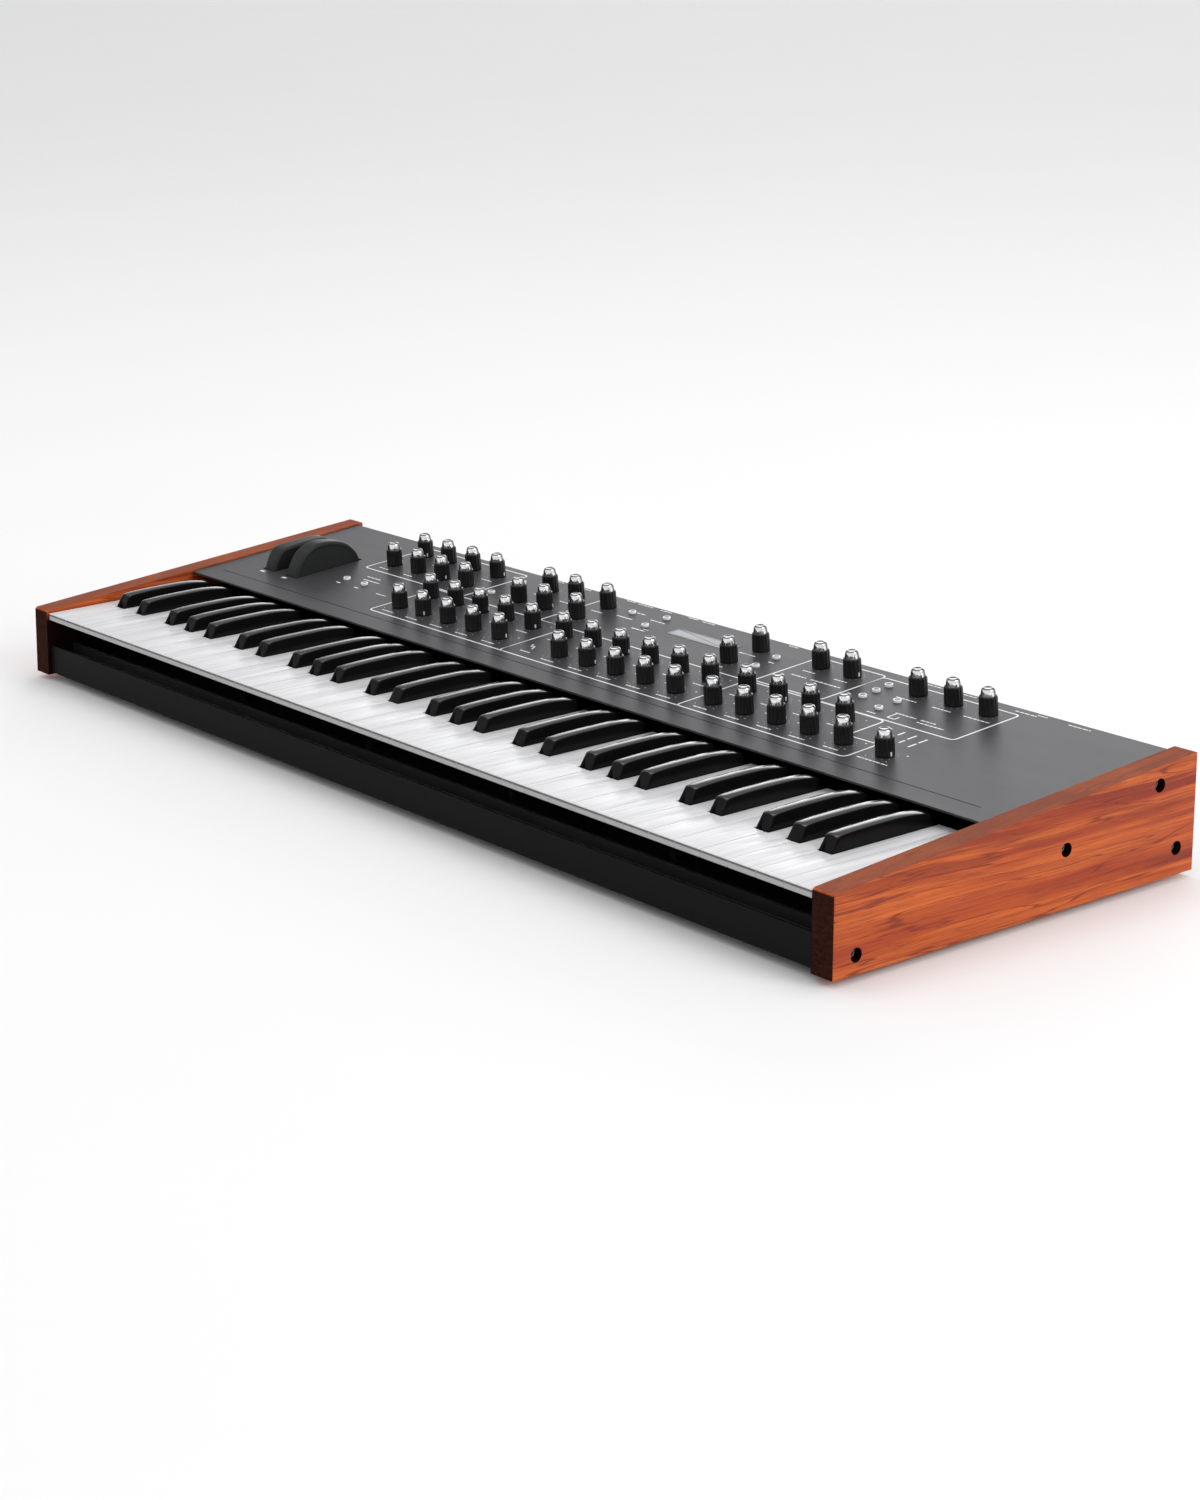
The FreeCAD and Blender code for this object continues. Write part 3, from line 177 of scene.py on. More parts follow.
def wood():
    m = Mat("lacquered_redwood")
    run = m.map((1, 1, 1), rot=(math.radians(0.8), 0, 0))
    warp = m.noise((5, 2.2, 9), 3, 0.5, 0.0, run)
    x, y, z = m.xyz(run)
    # long streaks that follow the board, closer and darker towards its upper edge
    depth = m.math("ADD", m.math("MULTIPLY", z, 1.0), m.math("MULTIPLY", m.math("SUBTRACT", warp, 0.5), 0.034))
    band = m.node("CombineXYZ", {"X": m.math("MULTIPLY", x, 0.5), "Y": m.math("MULTIPLY", y, 0.045), "Z": depth}).outputs[0]
    broad = m.noise(58, 2.5, 0.55, 0.25, band)
    fine = m.noise((620, 7, 720), 4, 0.62, 0.4, run)
    hair = m.noise((1500, 14, 1700), 2, 0.5, 0.0, run)
    pores = m.grey(m.noise((1300, 34, 1500), 2, 0.5, 0.6, run), [(0.0, 1.0), (0.34, 1.0), (0.40, 0.0), (1.0, 0.0)])
    colour = m.ramp(broad, [(0.34, (0.27, 0.030, 0.008)), (0.42, (0.43, 0.062, 0.012)), (0.50, (0.56, 0.104, 0.016)),
                            (0.58, (0.66, 0.145, 0.024)), (0.68, (0.47, 0.072, 0.013))])
    upper = m.grey(m.math("MULTIPLY", depth, 10.0), [(0.30, 0.12), (0.80, 0.85)])
    stripe = m.noise(150, 3, 0.6, 0.3, band)
    colour = m.mix(m.math("MULTIPLY", upper, m.grey(stripe, [(0.42, 1.0), (0.52, 0.05)])), colour, (0.20, 0.020, 0.007))
    line = m.math("ABSOLUTE", m.math("SUBTRACT", m.noise(105, 2, 0.5, 0.4, band), 0.5))
    colour = m.mix(m.grey(m.math("MULTIPLY", line, 10.0), [(0.04, 0.75), (0.16, 0.0)]), colour, (0.15, 0.016, 0.006))
    colour = m.mix(m.grey(fine, [(0.3, 0.5), (0.62, 0.0)]), colour, (0.28, 0.036, 0.011))
    colour = m.mix(m.grey(hair, [(0.35, 0.30), (0.6, 0.0)]), colour, (0.20, 0.027, 0.010))
    colour = m.mix(m.math("MULTIPLY", pores, 0.5), colour, (0.10, 0.014, 0.006))
    nx, ny, nz = m.xyz(m.normal())
    # end faces: darker end grain with its rings, taken far darker still as painted shade on the unlit front and rear
    # ends
    end = m.grey(m.math("ABSOLUTE", ny), [(0.80, 0.0), (0.96, 1.0)])
    rings = m.grey(m.noise((260, 40, 560), 3, 0.6, 0.8, run), [(0.3, 0.0), (0.7, 1.0)])
    end_grain_and_shade = m.mix(rings, (0.013, 0.003, 0.002), (0.042, 0.010, 0.005))
    # painted reflection: up-facing faces get a duller pinkish brown standing in for the grazing reflection of the room
    # on the lacquer
    top_sheen_mask = m.grey(nz, [(0.85, 0.0), (0.97, 1.0)])
    colour = m.mix(m.math("MULTIPLY", top_sheen_mask, 0.72), colour, m.mix(fine, (0.17, 0.055, 0.033), (0.27, 0.105, 0.066)))
    colour = m.mix(end, colour, end_grain_and_shade)
    px, py, pz = m.xyz()
    across = m.math("ABSOLUTE", px)
    lo_w, hi_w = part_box("right_cheek")
    # painted shade: the cheek faces beside the key ends, below the keys, and the screw holes are darkened to stand in
    # for the shade in these recesses
    inside = m.grey(m.math("MULTIPLY", m.math("SUBTRACT", across, lo_w.x), 1000.0), [(0.3, 1.0), (0.6, 0.0)])
    low = m.grey(m.math("MULTIPLY", pz, 10.0), [(0.50, 1.0), (0.56, 0.0)])
    recess_shade = m.math("MULTIPLY", inside, low)
    for cy, cz in HOLES:
        dy, dz = m.math("SUBTRACT", py, cy), m.math("SUBTRACT", pz, cz)
        far = m.math("SQRT", m.math("ADD", m.math("MULTIPLY", dy, dy), m.math("MULTIPLY", dz, dz)))
        recess_shade = m.math("MAXIMUM", recess_shade, m.grey(m.math("MULTIPLY", far, 100.0), [(0.464, 1.0), (0.474, 0.0)]))
    # painted shade laid over the recesses and screw holes
    colour = m.mix(recess_shade, colour, (0.010, 0.003, 0.002))
    rough = m.math("ADD", 0.36, m.math("MULTIPLY", fine, 0.16))
    rough = m.math("ADD", rough, m.math("MULTIPLY", m.math("MAXIMUM", m.math("MAXIMUM", end, top_sheen_mask), recess_shade), 0.3))
    gloss = m.math("SUBTRACT", 0.28, m.math("MULTIPLY", m.math("MAXIMUM", m.math("MAXIMUM", end, top_sheen_mask), recess_shade), 0.22))
    bump = m.bump(m.math("SUBTRACT", m.math("MULTIPLY", fine, 0.5), pores), 0.35, 0.00022)
    return m.set(color=colour, rough=rough, normal=bump, spec=gloss, ior=1.45)


def powder(name, low, high, rough, grain=1500.0, strength=0.16, coat=0.0, spec=0.5):
    """Powder-coated or satin painted metal: fine orange peel, faint cloudiness."""
    m = Mat(name)
    cloud = m.noise(7.0, 3, 0.55)
    peel = m.noise(grain, 3, 0.6)
    speck = m.noise(grain * 2.6, 2, 0.6)
    dust = m.grey(m.noise(grain * 0.9, 2, 0.5, 0.0, m.map((1, 1, 1), loc=(3.1, 0.4, 1.7))), [(0.72, 0.0), (0.78, 1.0)])
    colour = m.mix(cloud, low, high)
    colour = m.mix(m.math("MULTIPLY", speck, 0.3), colour, tuple(v * 1.5 for v in high))
    colour = m.mix(m.math("MULTIPLY", dust, 0.25), colour, (0.25, 0.25, 0.25))
    r = m.math("ADD", rough - 0.05, m.math("MULTIPLY", m.math("ADD", cloud, speck), 0.06))
    return m.set(color=colour, rough=r, normal=m.bump(m.math("ADD", peel, m.math("MULTIPLY", speck, 0.4)), strength, 0.0001),
                 coat=coat, coat_rough=0.2, spec=spec)


def panel_paint():
    m = Mat("panel_paint")
    cloud = m.noise((3.0, 9.0, 9.0), 4, 0.55)
    peel = m.noise(1700, 3, 0.6)
    speck = m.noise(5200, 2, 0.6)
    wipe = m.noise((16, 120, 120), 4, 0.6, 0.6)
    colour = m.mix(cloud, (0.027, 0.027, 0.030), (0.039, 0.039, 0.043))
    colour = m.mix(m.math("MULTIPLY", speck, 0.25), colour, (0.10, 0.10, 0.105))
    rough = m.math("ADD", 0.36, m.math("ADD", m.math("MULTIPLY", wipe, 0.09), m.math("MULTIPLY", cloud, 0.05)))
    return m.set(color=colour, rough=rough, normal=m.bump(m.math("ADD", peel, m.math("MULTIPLY", speck, 0.4)), 0.10, 0.0001),
                 spec=0.24)


def key_white():
    m = Mat("white_key_plastic")
    streak = m.noise((260, 4.5, 90), 4, 0.6, 0.3)
    cloud = m.noise((30, 9, 20), 3, 0.5)
    micro = m.noise((2600, 160, 900), 3, 0.6)
    colour = m.mix(m.grey(streak, [(0.40, 0.0), (0.68, 1.0)]), (0.69, 0.69, 0.70), (0.55, 0.555, 0.58))
    colour = m.mix(m.math("MULTIPLY", cloud, 0.25), colour, (0.70, 0.70, 0.69))
    nx, ny, nz = m.xyz(m.normal())
    px, py, pz = m.xyz()
    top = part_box("white_keys_c")[1].z
    level = m.math("SUBTRACT", top, pz)
    # painted shade: a dark grey band just under the front edge of the top stands in for the shade under the overhanging
    # nose
    nose_shade = m.math("MULTIPLY", m.grey(m.math("MULTIPLY", level, 100.0), [(0.045, 0.0), (0.075, 1.0), (0.20, 1.0), (0.25, 0.0)]),
                  m.grey(m.math("MULTIPLY", ny, -1.0), [(0.15, 0.0), (0.5, 1.0)]))
    colour = m.mix(nose_shade, colour, (0.13, 0.13, 0.135))
    # painted shade: the front faces below the nose are greyed because little light reaches them from the front
    front_face_shade = m.math("MULTIPLY", m.grey(m.math("MULTIPLY", level, 100.0), [(0.20, 0.0), (0.25, 1.0)]),
                  m.grey(m.math("MULTIPLY", ny, -1.0), [(0.6, 0.0), (0.9, 1.0)]))
    colour = m.mix(m.math("MULTIPLY", front_face_shade, 0.8), colour, (0.36, 0.36, 0.35))
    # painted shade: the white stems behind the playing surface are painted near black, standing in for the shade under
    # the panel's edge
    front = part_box("white_keys_c")[0].y
    back = m.grey(m.math("SUBTRACT", py, front + 0.148), [(0.0, 0.0), (0.0006, 1.0)])
    colour = m.mix(back, colour, (0.004, 0.004, 0.004))
    rough = m.math("ADD", 0.22, m.math("MULTIPLY", streak, 0.14))
    rough = m.math("ADD", rough, m.math("MULTIPLY", back, 0.5))
    outside_rear_shade = m.math("SUBTRACT", 1.0, back)
    return m.set(color=colour, rough=rough, normal=m.bump(micro, 0.05, 0.00005), spec=m.math("MULTIPLY", outside_rear_shade, 0.30), ior=1.49)


def key_black():
    m = Mat("black_key_plastic")
    scratch = m.noise((2400, 70, 2400), 3, 0.6)
    cloud = m.noise((60, 14, 60), 4, 0.55)
    wear = m.noise(900, 3, 0.6)
    colour = m.mix(cloud, (0.0030, 0.0030, 0.0034), (0.0065, 0.0065, 0.007))
    rough = m.math("ADD", 0.07, m.math("MULTIPLY", m.math("ADD", scratch, cloud), 0.06))
    bump = m.bump(m.math("ADD", m.math("MULTIPLY", scratch, 0.5), wear), 0.05, 0.00006)
    nx, ny, nz = m.xyz(m.normal())
    crown = m.grey(nz, [(0.45, 0.0), (0.80, 1.0)])
    return m.set(color=colour, rough=m.math("ADD", rough, m.math("MULTIPLY", crown, 0.05)), normal=bump,
                 spec=m.math("ADD", 0.12, m.math("MULTIPLY", crown, 0.75)), ior=1.5)


def moulded(name, low, high, rough, grain=900.0, bump=0.15, ior=1.47, spec=0.5):
    """Moulded plastic with a fine spark-eroded texture."""
    m = Mat(name)
    tex = m.noise(grain, 4, 0.65)
    cloud = m.noise(grain / 30, 3, 0.5)
    colour = m.mix(cloud, low, high)
    r = m.math("ADD", rough - 0.05, m.math("MULTIPLY", m.math("ADD", tex, cloud), 0.07))
    return m.set(color=colour, rough=r, normal=m.bump(tex, bump, 0.0001), ior=ior, spec=spec)


def metal(name, low, high, rough, stretch=(30, 900, 900), bump=0.12):
    """Bare metal with a directional brushed or drawn finish."""
    m = Mat(name)
    brush = m.noise(stretch, 4, 0.65)
    cloud = m.noise(40, 3, 0.5)
    colour = m.mix(brush, low, high)
    colour = m.mix(m.math("MULTIPLY", cloud, 0.35), colour, low)
    r = m.math("ADD", rough - 0.06, m.math("MULTIPLY", m.math("ADD", brush, cloud), 0.08))
    return m.set(color=colour, metal=1.0, rough=r, normal=m.bump(brush, bump, 0.00004))


def cap_metal():
    """Turned aluminium: rings on the top, drawn up the side, from the knob's own coordinates; the top and the outline
    carry a painted dark reflection.
    """
    m = Mat("turned_aluminium")
    own = m.node("Attribute", attribute_name="own").outputs["Vector"]
    x, y, z = m.xyz(own)
    rad = m.math("SQRT", m.math("ADD", m.math("MULTIPLY", x, x), m.math("MULTIPLY", y, y)))
    ring = m.math("SINE", m.math("MULTIPLY", rad, 26000.0))
    grit = m.noise(2600, 3, 0.6, 0.0, own)
    colour = m.mix(grit, (0.84, 0.85, 0.86), (0.97, 0.97, 0.97))
    # painted reflection: the top of the cap and its outline, where it turns away from the view, are darkened to stand
    # in for the dark room they reflect
    crown = m.grey(m.math("MULTIPLY", z, 50.0), [(0.912, 0.0), (0.930, 1.0)])
    facing = m.node("LayerWeight", {"Blend": 0.5}).outputs["Facing"]
    rim = m.grey(facing, [(0.24, 0.0), (0.44, 1.0)])
    colour = m.mix(m.math("MULTIPLY", m.math("MAXIMUM", crown, rim), 0.92), colour, (0.07, 0.074, 0.08))
    rough = m.math("ADD", 0.09, m.math("MULTIPLY", grit, 0.08))
    return m.set(color=colour, metal=1.0, rough=rough,
                 normal=m.bump(m.math("ADD", m.math("MULTIPLY", ring, 0.3), grit), 0.08, 0.00003))


def ink():
    m = Mat("screen_print")
    n = m.noise(1800, 3, 0.6)
    fade = m.noise(40, 3, 0.5)
    colour = m.mix(n, (0.70, 0.70, 0.71), (0.84, 0.84, 0.85))
    colour = m.mix(m.math("MULTIPLY", fade, 0.25), colour, (0.52, 0.52, 0.53))
    return m.set(color=colour, rough=m.math("ADD", 0.38, m.math("MULTIPLY", n, 0.1)), normal=m.bump(n, 0.1, 0.00003))


def rubber():
    m = Mat("foot_rubber")
    n = m.noise(1300, 4, 0.7)
    d = m.grey(m.noise(420, 3, 0.6), [(0.55, 0.0), (0.75, 1.0)])
    return m.set(color=m.mix(m.math("MULTIPLY", d, 0.2), (0.012, 0.012, 0.012), (0.08, 0.078, 0.075)),
                 rough=m.math("ADD", 0.62, m.math("MULTIPLY", n, 0.2)), normal=m.bump(n, 0.3, 0.0002))


def board():
    m = Mat("circuit_board")
    v = m.map((90, 90, 90))
    trace = m.node("TexBrick", {"Vector": v, "Scale": 1.0, "Mortar Size": 0.06, "Color1": (0.010, 0.075, 0.030, 1),
                                "Color2": (0.014, 0.095, 0.038, 1), "Mortar": (0.03, 0.17, 0.07, 1)})
    pads = m.node("TexVoronoi", {"Vector": m.co, "Scale": 260.0}).outputs["Distance"]
    spot = m.grey(pads, [(0.16, 1.0), (0.20, 0.0)])
    colour = m.mix(m.math("MULTIPLY", spot, 0.8), trace.outputs["Color"], (0.62, 0.58, 0.45))
    return m.set(color=colour, rough=m.math("ADD", 0.25, m.math("MULTIPLY", m.noise(500), 0.2)),
                 normal=m.bump(m.math("ADD", trace.outputs["Fac"], spot), 0.3, 0.0001))


def felt():
    m = Mat("red_felt")
    fuzz = m.noise(2600, 5, 0.75)
    lump = m.noise(220, 3, 0.6)
    colour = m.mix(fuzz, (0.16, 0.008, 0.008), (0.42, 0.035, 0.03))
    return m.set(color=colour, rough=0.95, sheen=0.6, sheen_rough=0.5, normal=m.bump(m.math("ADD", fuzz, lump), 0.6, 0.0004))


def ribbon_cable():
    m = Mat("ribbon_cable")
    x, y, z = m.xyz()
    wire = m.math("SINE", m.math("MULTIPLY", x, 4947.0))
    n = m.noise(600)
    colour = m.mix(m.grey(wire, [(0.3, 0.0), (0.7, 1.0)]), (0.28, 0.28, 0.29), (0.42, 0.42, 0.43))
    return m.set(color=colour, rough=m.math("ADD", 0.4, m.math("MULTIPLY", n, 0.1)), normal=m.bump(wire, 0.5, 0.0003))


def display_glass():
    m = Mat("display_glass")
    lo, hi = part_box("display_window")
    x, y, z = m.xyz(m.node("Attribute", attribute_name="own").outputs["Vector"])
    half_x, half_y = 0.0327, 0.0070
    inx = m.grey(m.math("SUBTRACT", half_x, m.math("ABSOLUTE", x)), [(0.0008, 0.0), (0.0012, 1.0)])
    iny = m.grey(m.math("SUBTRACT", half_y, m.math("ABSOLUTE", y)), [(0.0008, 0.0), (0.0012, 1.0)])
    inside = m.math("MULTIPLY", inx, iny)
    cells = m.node("TexBrick", {"Vector": m.node("CombineXYZ", {"X": x, "Y": y, "Z": 0.0}).outputs[0], "Scale": 1.0,
                                "Brick Width": 0.0030, "Row Height": 0.0052, "Mortar Size": 0.00022,
                                "Color1": (0.27, 0.28, 0.30, 1), "Color2": (0.31, 0.32, 0.34, 1),
                                "Mortar": (0.35, 0.36, 0.38, 1)}, offset=0.0, squash=1.0)
    glow = m.noise(26, 2, 0.5)
    lit = m.mix(m.math("MULTIPLY", glow, 0.4), cells.outputs["Color"], (0.38, 0.40, 0.42))
    colour = m.mix(inside, (0.17, 0.18, 0.19), lit)
    smear = m.noise((60, 400, 400), 3, 0.5)
    return m.set(color=colour, rough=m.math("ADD", 0.30, m.math("MULTIPLY", smear, 0.10)), spec=0.12,
                 emit=colour, emit_power=0.04, normal=m.bump(smear, 0.03, 0.00004))


def rear_fittings():
    """Black moulded sockets whose nuts and shells, outside the rear wall, are nickel plated."""
    m = Mat("rear_fittings")
    x, y, z = m.xyz()
    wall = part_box("chassis_tray")[1].y
    out = m.grey(m.math("MULTIPLY", m.math("SUBTRACT", y, wall - 0.00005), 1000.0), [(0.0, 0.0), (0.12, 1.0)])
    nx, ny, nz = m.xyz(m.normal())
    cx = m.math("MULTIPLY", m.math("ROUND", m.math("DIVIDE", x, 0.001)), 0.001)
    n = m.noise(1500, 3, 0.6)
    spin = m.noise((900, 30, 900), 3, 0.6)
    colour = m.mix(n, (0.010, 0.010, 0.011), (0.022, 0.022, 0.023))
    plated = m.mix(spin, (0.52, 0.51, 0.49), (0.72, 0.71, 0.69))
    del cx, nx, ny, nz
    return m.set(color=m.mix(out, colour, plated), metal=out, rough=m.math("SUBTRACT", 0.42, m.math("MULTIPLY", out, 0.16)),
                 normal=m.bump(n, 0.12, 0.00008))


M = {
    "red_wood": wood(),
    "panel_paint": panel_paint(),
    "tray_paint": powder("tray_paint", (0.0034, 0.0035, 0.0034), (0.0052, 0.0053, 0.0052), 0.5, 1300, 0.2, 0.0, 0.07),
    "white_key": key_white(),
    "black_key": key_black(),
    "knob_black": moulded("knob_plastic", (0.006, 0.006, 0.0065), (0.009, 0.009, 0.0095), 0.30, 1500, 0.08, spec=0.35),
    "wheel_black": moulded("wheel_plastic", (0.016, 0.0175, 0.017), (0.022, 0.0235, 0.0225), 0.46, 1500, 0.16, spec=0.22),
    "button_white": moulded("button_plastic", (0.84, 0.84, 0.85), (0.93, 0.93, 0.94), 0.24, 1800, 0.05),
    "lens": display_glass(),
    "display": moulded("display_board", (0.40, 0.44, 0.46), (0.50, 0.54, 0.56), 0.3),
    # dark screws coloured lighter grey than their black oxide finish, as a painted highlight inside their deep holes
    "screw_black": moulded("black_oxide_painted_highlight", (0.10, 0.10, 0.115), (0.17, 0.17, 0.19), 0.30, 1200, 0.1, spec=0.9),
    "rubber": rubber(),
    "pcb": board(),
    "steel": metal("zinc_plated_steel", (0.42, 0.42, 0.42), (0.62, 0.62, 0.61), 0.32),
    "frame_metal": powder("keybed_paint", (0.010, 0.010, 0.010), (0.018, 0.018, 0.018), 0.5),
    "felt": felt(),
    "mask_black": moulded("solder_mask", (0.003, 0.003, 0.003), (0.006, 0.006, 0.006), 0.5),
    "component": moulded("component_plastic", (0.010, 0.010, 0.010), (0.020, 0.020, 0.020), 0.45),
    "cable_grey": ribbon_cable(),
    "cap": cap_metal(),
    "ink": ink(),
    "fittings": rear_fittings(),
    "button_ring": moulded("button_ring", (0.20, 0.20, 0.21), (0.28, 0.28, 0.29), 0.4, 1800, 0.05),
    "rocker": moulded("rocker_plastic", (0.012, 0.012, 0.012), (0.020, 0.020, 0.020), 0.36),
}

slot_of = {s["node"]: s["material_slot"] for s in frame["record"]["subparts"]}
for name, ob in nodes.items():
    key = slot_of.get(name, "component")
    if name in ("audio_jacks", "data_sockets"):
        key = "fittings"
    if name == "power_rocker":
        key = "rocker"
    if name in ("key_contact_board", "contact_rubber_strip"):
        key = "mask_black"
    ob.data.materials.clear()
    ob.data.materials.append(M[key])


# ------------------------------------------------------------------ mesh helpers
class Build:
    """Collects several small closed shapes in one mesh, with a material number for each face."""

    def __init__(self):
        self.v, self.f, self.m, self.own = [], [], [], []

    def add(self, verts, faces, mat=0, place=None, own=None):
        base = len(self.v)
        self.own += [tuple(p) for p in (own or verts)]
        self.v += [tuple(place @ Vector(p)) if place is not None else tuple(p) for p in verts]
        self.f += [tuple(base + i for i in f) for f in faces]
        self.m += [mat] * len(faces) if isinstance(mat, int) else list(mat)

    def make(self, name, body, mats, replaces=(), angle=35.0, bevel=None):
        me = bpy.data.meshes.new(name)
        me.from_pydata(self.v, [], self.f)
        me.update()
        me.polygons.foreach_set("material_index", self.m)
        a = me.attributes.new("own", "FLOAT_VECTOR", "POINT")
        a.data.foreach_set("vector", [c for p in self.own for c in p])
        bm = bmesh.new()
        bm.from_mesh(me)
        bmesh.ops.recalc_face_normals(bm, faces=bm.faces)
        bm.to_mesh(me)
        bm.free()
        me.polygons.foreach_set("use_smooth", [True] * len(me.polygons))
        me.set_sharp_from_angle(angle=math.radians(angle))
        for mt in mats:
            me.materials.append(mt)
        ob = bpy.data.objects.new(name, me)
        scene.collection.objects.link(ob)
        if bevel:
            b = ob.modifiers.new("edges", "BEVEL")
            b.width, b.segments, b.limit_method, b.angle_limit = bevel * MM, 3, "ANGLE", math.radians(30)
            b.harden_normals = False
        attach(ob, body)
        if replaces:
            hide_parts(*replaces)
        return ob


def lathe(profile, segs, flute=None):
    """Solid of revolution about local Z from (radius, height) in mm. flute(angle, radius, height) gives the radius to use."""
    verts, faces = [], []
    rows = []
    for r, h in profile:
        if r < 1e-6:
            verts.append((0, 0, h * MM))
            rows.append([len(verts) - 1] * segs)
            continue
        row = []
        for k in range(segs):
            a = 2 * math.pi * k / segs
            q = flute(a, r, h) if flute else r
            verts.append((q * math.cos(a) * MM, q * math.sin(a) * MM, h * MM))
            row.append(len(verts) - 1)
        rows.append(row)
    for a, b in zip(rows, rows[1:]):
        for k in range(segs):
            n = (k + 1) % segs
            if a[k] == a[n]:
                faces.append((a[k], b[n], b[k]))
            elif b[k] == b[n]:
                faces.append((a[k], a[n], b[k]))
            else:
                faces.append((a[k], a[n], b[n], b[k]))
    return verts, faces


def inset(poly, d):
    """Moves each side of a counter-clockwise outline inwards by d."""
    out = []
    n = len(poly)
    for i in range(n):
        p0, p1, p2 = poly[i - 1], poly[i], poly[(i + 1) % n]
        e1 = (p1[0] - p0[0], p1[1] - p0[1])
        e2 = (p2[0] - p1[0], p2[1] - p1[1])
        l1, l2 = math.hypot(*e1) or 1, math.hypot(*e2) or 1
        n1, n2 = (-e1[1] / l1, e1[0] / l1), (-e2[1] / l2, e2[0] / l2)
        bx, by = n1[0] + n2[0], n1[1] + n2[1]
        q = bx * bx + by * by
        if q < 1e-9:
            out.append((p1[0] + n1[0] * d, p1[1] + n1[1] * d))
            continue
        k = 2 * d / q
        out.append((p1[0] + bx * k, p1[1] + by * k))
    return out


def round_poly(poly, radii, steps=3):
    """Counter-clockwise outline with each corner rounded by its radius."""
    out = []
    n = len(poly)
    for i in range(n):
        r = radii[i] if isinstance(radii, (list, tuple)) else radii
        p0, p1, p2 = Vector(poly[i - 1]), Vector(poly[i]), Vector(poly[(i + 1) % n])
        a, b = (p0 - p1).normalized(), (p2 - p1).normalized()
        half = a.angle(b) / 2
        if r < 1e-6 or abs(half - math.pi / 2) < 1e-3:
            out.append(tuple(p1))
            continue
        t = r / math.tan(half)
        c = p1 + (a + b).normalized() * (r / math.sin(half))
        s, e = p1 + a * t - c, p1 + b * t - c
        turn = s.angle_signed(e)
        for k in range(steps + 1):
            w = -turn * k / steps
            out.append((c.x + s.x * math.cos(w) - s.y * math.sin(w), c.y + s.x * math.sin(w) + s.y * math.cos(w)))
    return out


def stack(rings, close=True):
    """Joins outlines of the same number of 3-D points into a closed skin."""
    n = len(rings[0])
    verts = [p for r in rings for p in r]
    faces = []
    for k in range(len(rings) - 1):
        for i in range(n):
            j = (i + 1) % n
            faces.append((k * n + i, k * n + j, (k + 1) * n + j, (k + 1) * n + i))
    if close:
        faces.append(tuple(range(n))[::-1])
        faces.append(tuple((len(rings) - 1) * n + i for i in range(n)))
    return verts, faces


def block(x0, x1, y0, y1, z0, z1, r=0.3):
    """A moulded bar in mm with eased edges."""
    rings = []
    base = [(x0, y0), (x1, y0), (x1, y1), (x0, y1)]
    base = round_poly(base, r, 2)
    for z, d in ((z0, r), (z0 + r * 0.3, r * 0.3), (z0 + r, 0), (z1 - r, 0), (z1 - r * 0.3, r * 0.3), (z1, r)):
        rings.append([(x * MM, y * MM, z * MM) for x, y in inset(base, d)])
    return stack(rings)


# ------------------------------------------------------------------ knobs
FLUTES, SEGS = 14, 112


def flute(a, r, h):
    if not 1.5 < h < 13.2 or r < 5.5:
        return r
    fade = min(1.0, (h - 1.5) / 1.0, (13.2 - h) / 0.9)
    return r - 0.46 * fade * (0.5 + 0.5 * math.cos(FLUTES * a)) ** 1.3


BODY = [(3.1, 0.25), (6.1, 0.25), (6.4, 0.35), (6.5, 0.6), (6.5, 1.2), (6.48, 2.6), (6.42, 7.0), (6.33, 12.0), (6.28, 12.7),
        (6.12, 13.15), (5.75, 13.5), (5.35, 13.7), (5.12, 13.66)]
CAP = [(5.06, 13.4), (5.03, 14.2), (4.92, 15.2), (4.76, 16.4), (4.58, 17.4), (4.42, 18.0), (4.2, 18.45), (3.9, 18.78), (3.55, 19.0), (3.1, 19.1),
       (2.7, 19.08), (2.2, 18.97), (1.1, 18.88), (0, 18.86)]
BORE = [(0, 9.8), (3.1, 9.8), (3.1, 0.25)]
KNOB_BODY = lathe(BORE + BODY[1:] + [(5.12, 13.3)], SEGS, flute)
KNOB_CAP = lathe(CAP, 48)


def knob_into(b, x, s, spin):
    place = PANEL @ Matrix.Translation((x * MM, s * MM, 0)) @ Matrix.Rotation(math.radians(spin), 4, "Z")
    b.add(*KNOB_BODY, 0, place)
    b.add(*KNOB_CAP, 1, place)
    # white pointer: a short raised mark at the foot of the side, at local +Y
    path = [(6.50, 1.2), (6.55, 1.7), (6.54, 2.6), (6.52, 3.6), (6.44, 4.0)]
    verts, faces = [], []
    for r, h in path:
        for w, d in ((-0.62, -0.45), (-0.55, 0.05), (0.55, 0.05), (0.62, -0.45)):
            verts.append((w * MM, (r + d) * MM, h * MM))
    for k in range(len(path) - 1):
        for i in range(3):
            faces.append((4 * k + i, 4 * k + i + 1, 4 * k + i + 5, 4 * k + i + 4))
    b.add(verts, faces, 2, place)


turning = {"knob_volume": 20, "knob_data_select": -40, "knob_data_value": 30, "knob_cutoff": 60, "knob_resonance": -70,
           "knob_attack": 110, "knob_decay": 15, "knob_sustain": -35, "knob_release": 80, "knob_pitch": 0}
KNOB_MATS = [M["knob_black"], M["cap"], M["ink"]]
knob_places = []
for name, spin in turning.items():
    at = PANEL_INV @ Vector(joints["turn_" + name]["pos_m"])
    b = Build()
    knob_into(b, at.x / MM, at.y / MM, spin)
    b.make("look_" + name, name, KNOB_MATS, (name,))
    knob_places.append((at.x / MM, at.y / MM))
b = Build()
static_places = clusters("section_knobs")
for k, (x, s) in enumerate(static_places):
    knob_into(b, x, s, (k * 97) % 250 - 125)
b.make("look_section_knobs", "chassis", KNOB_MATS, ("section_knobs",))
knob_places += static_places

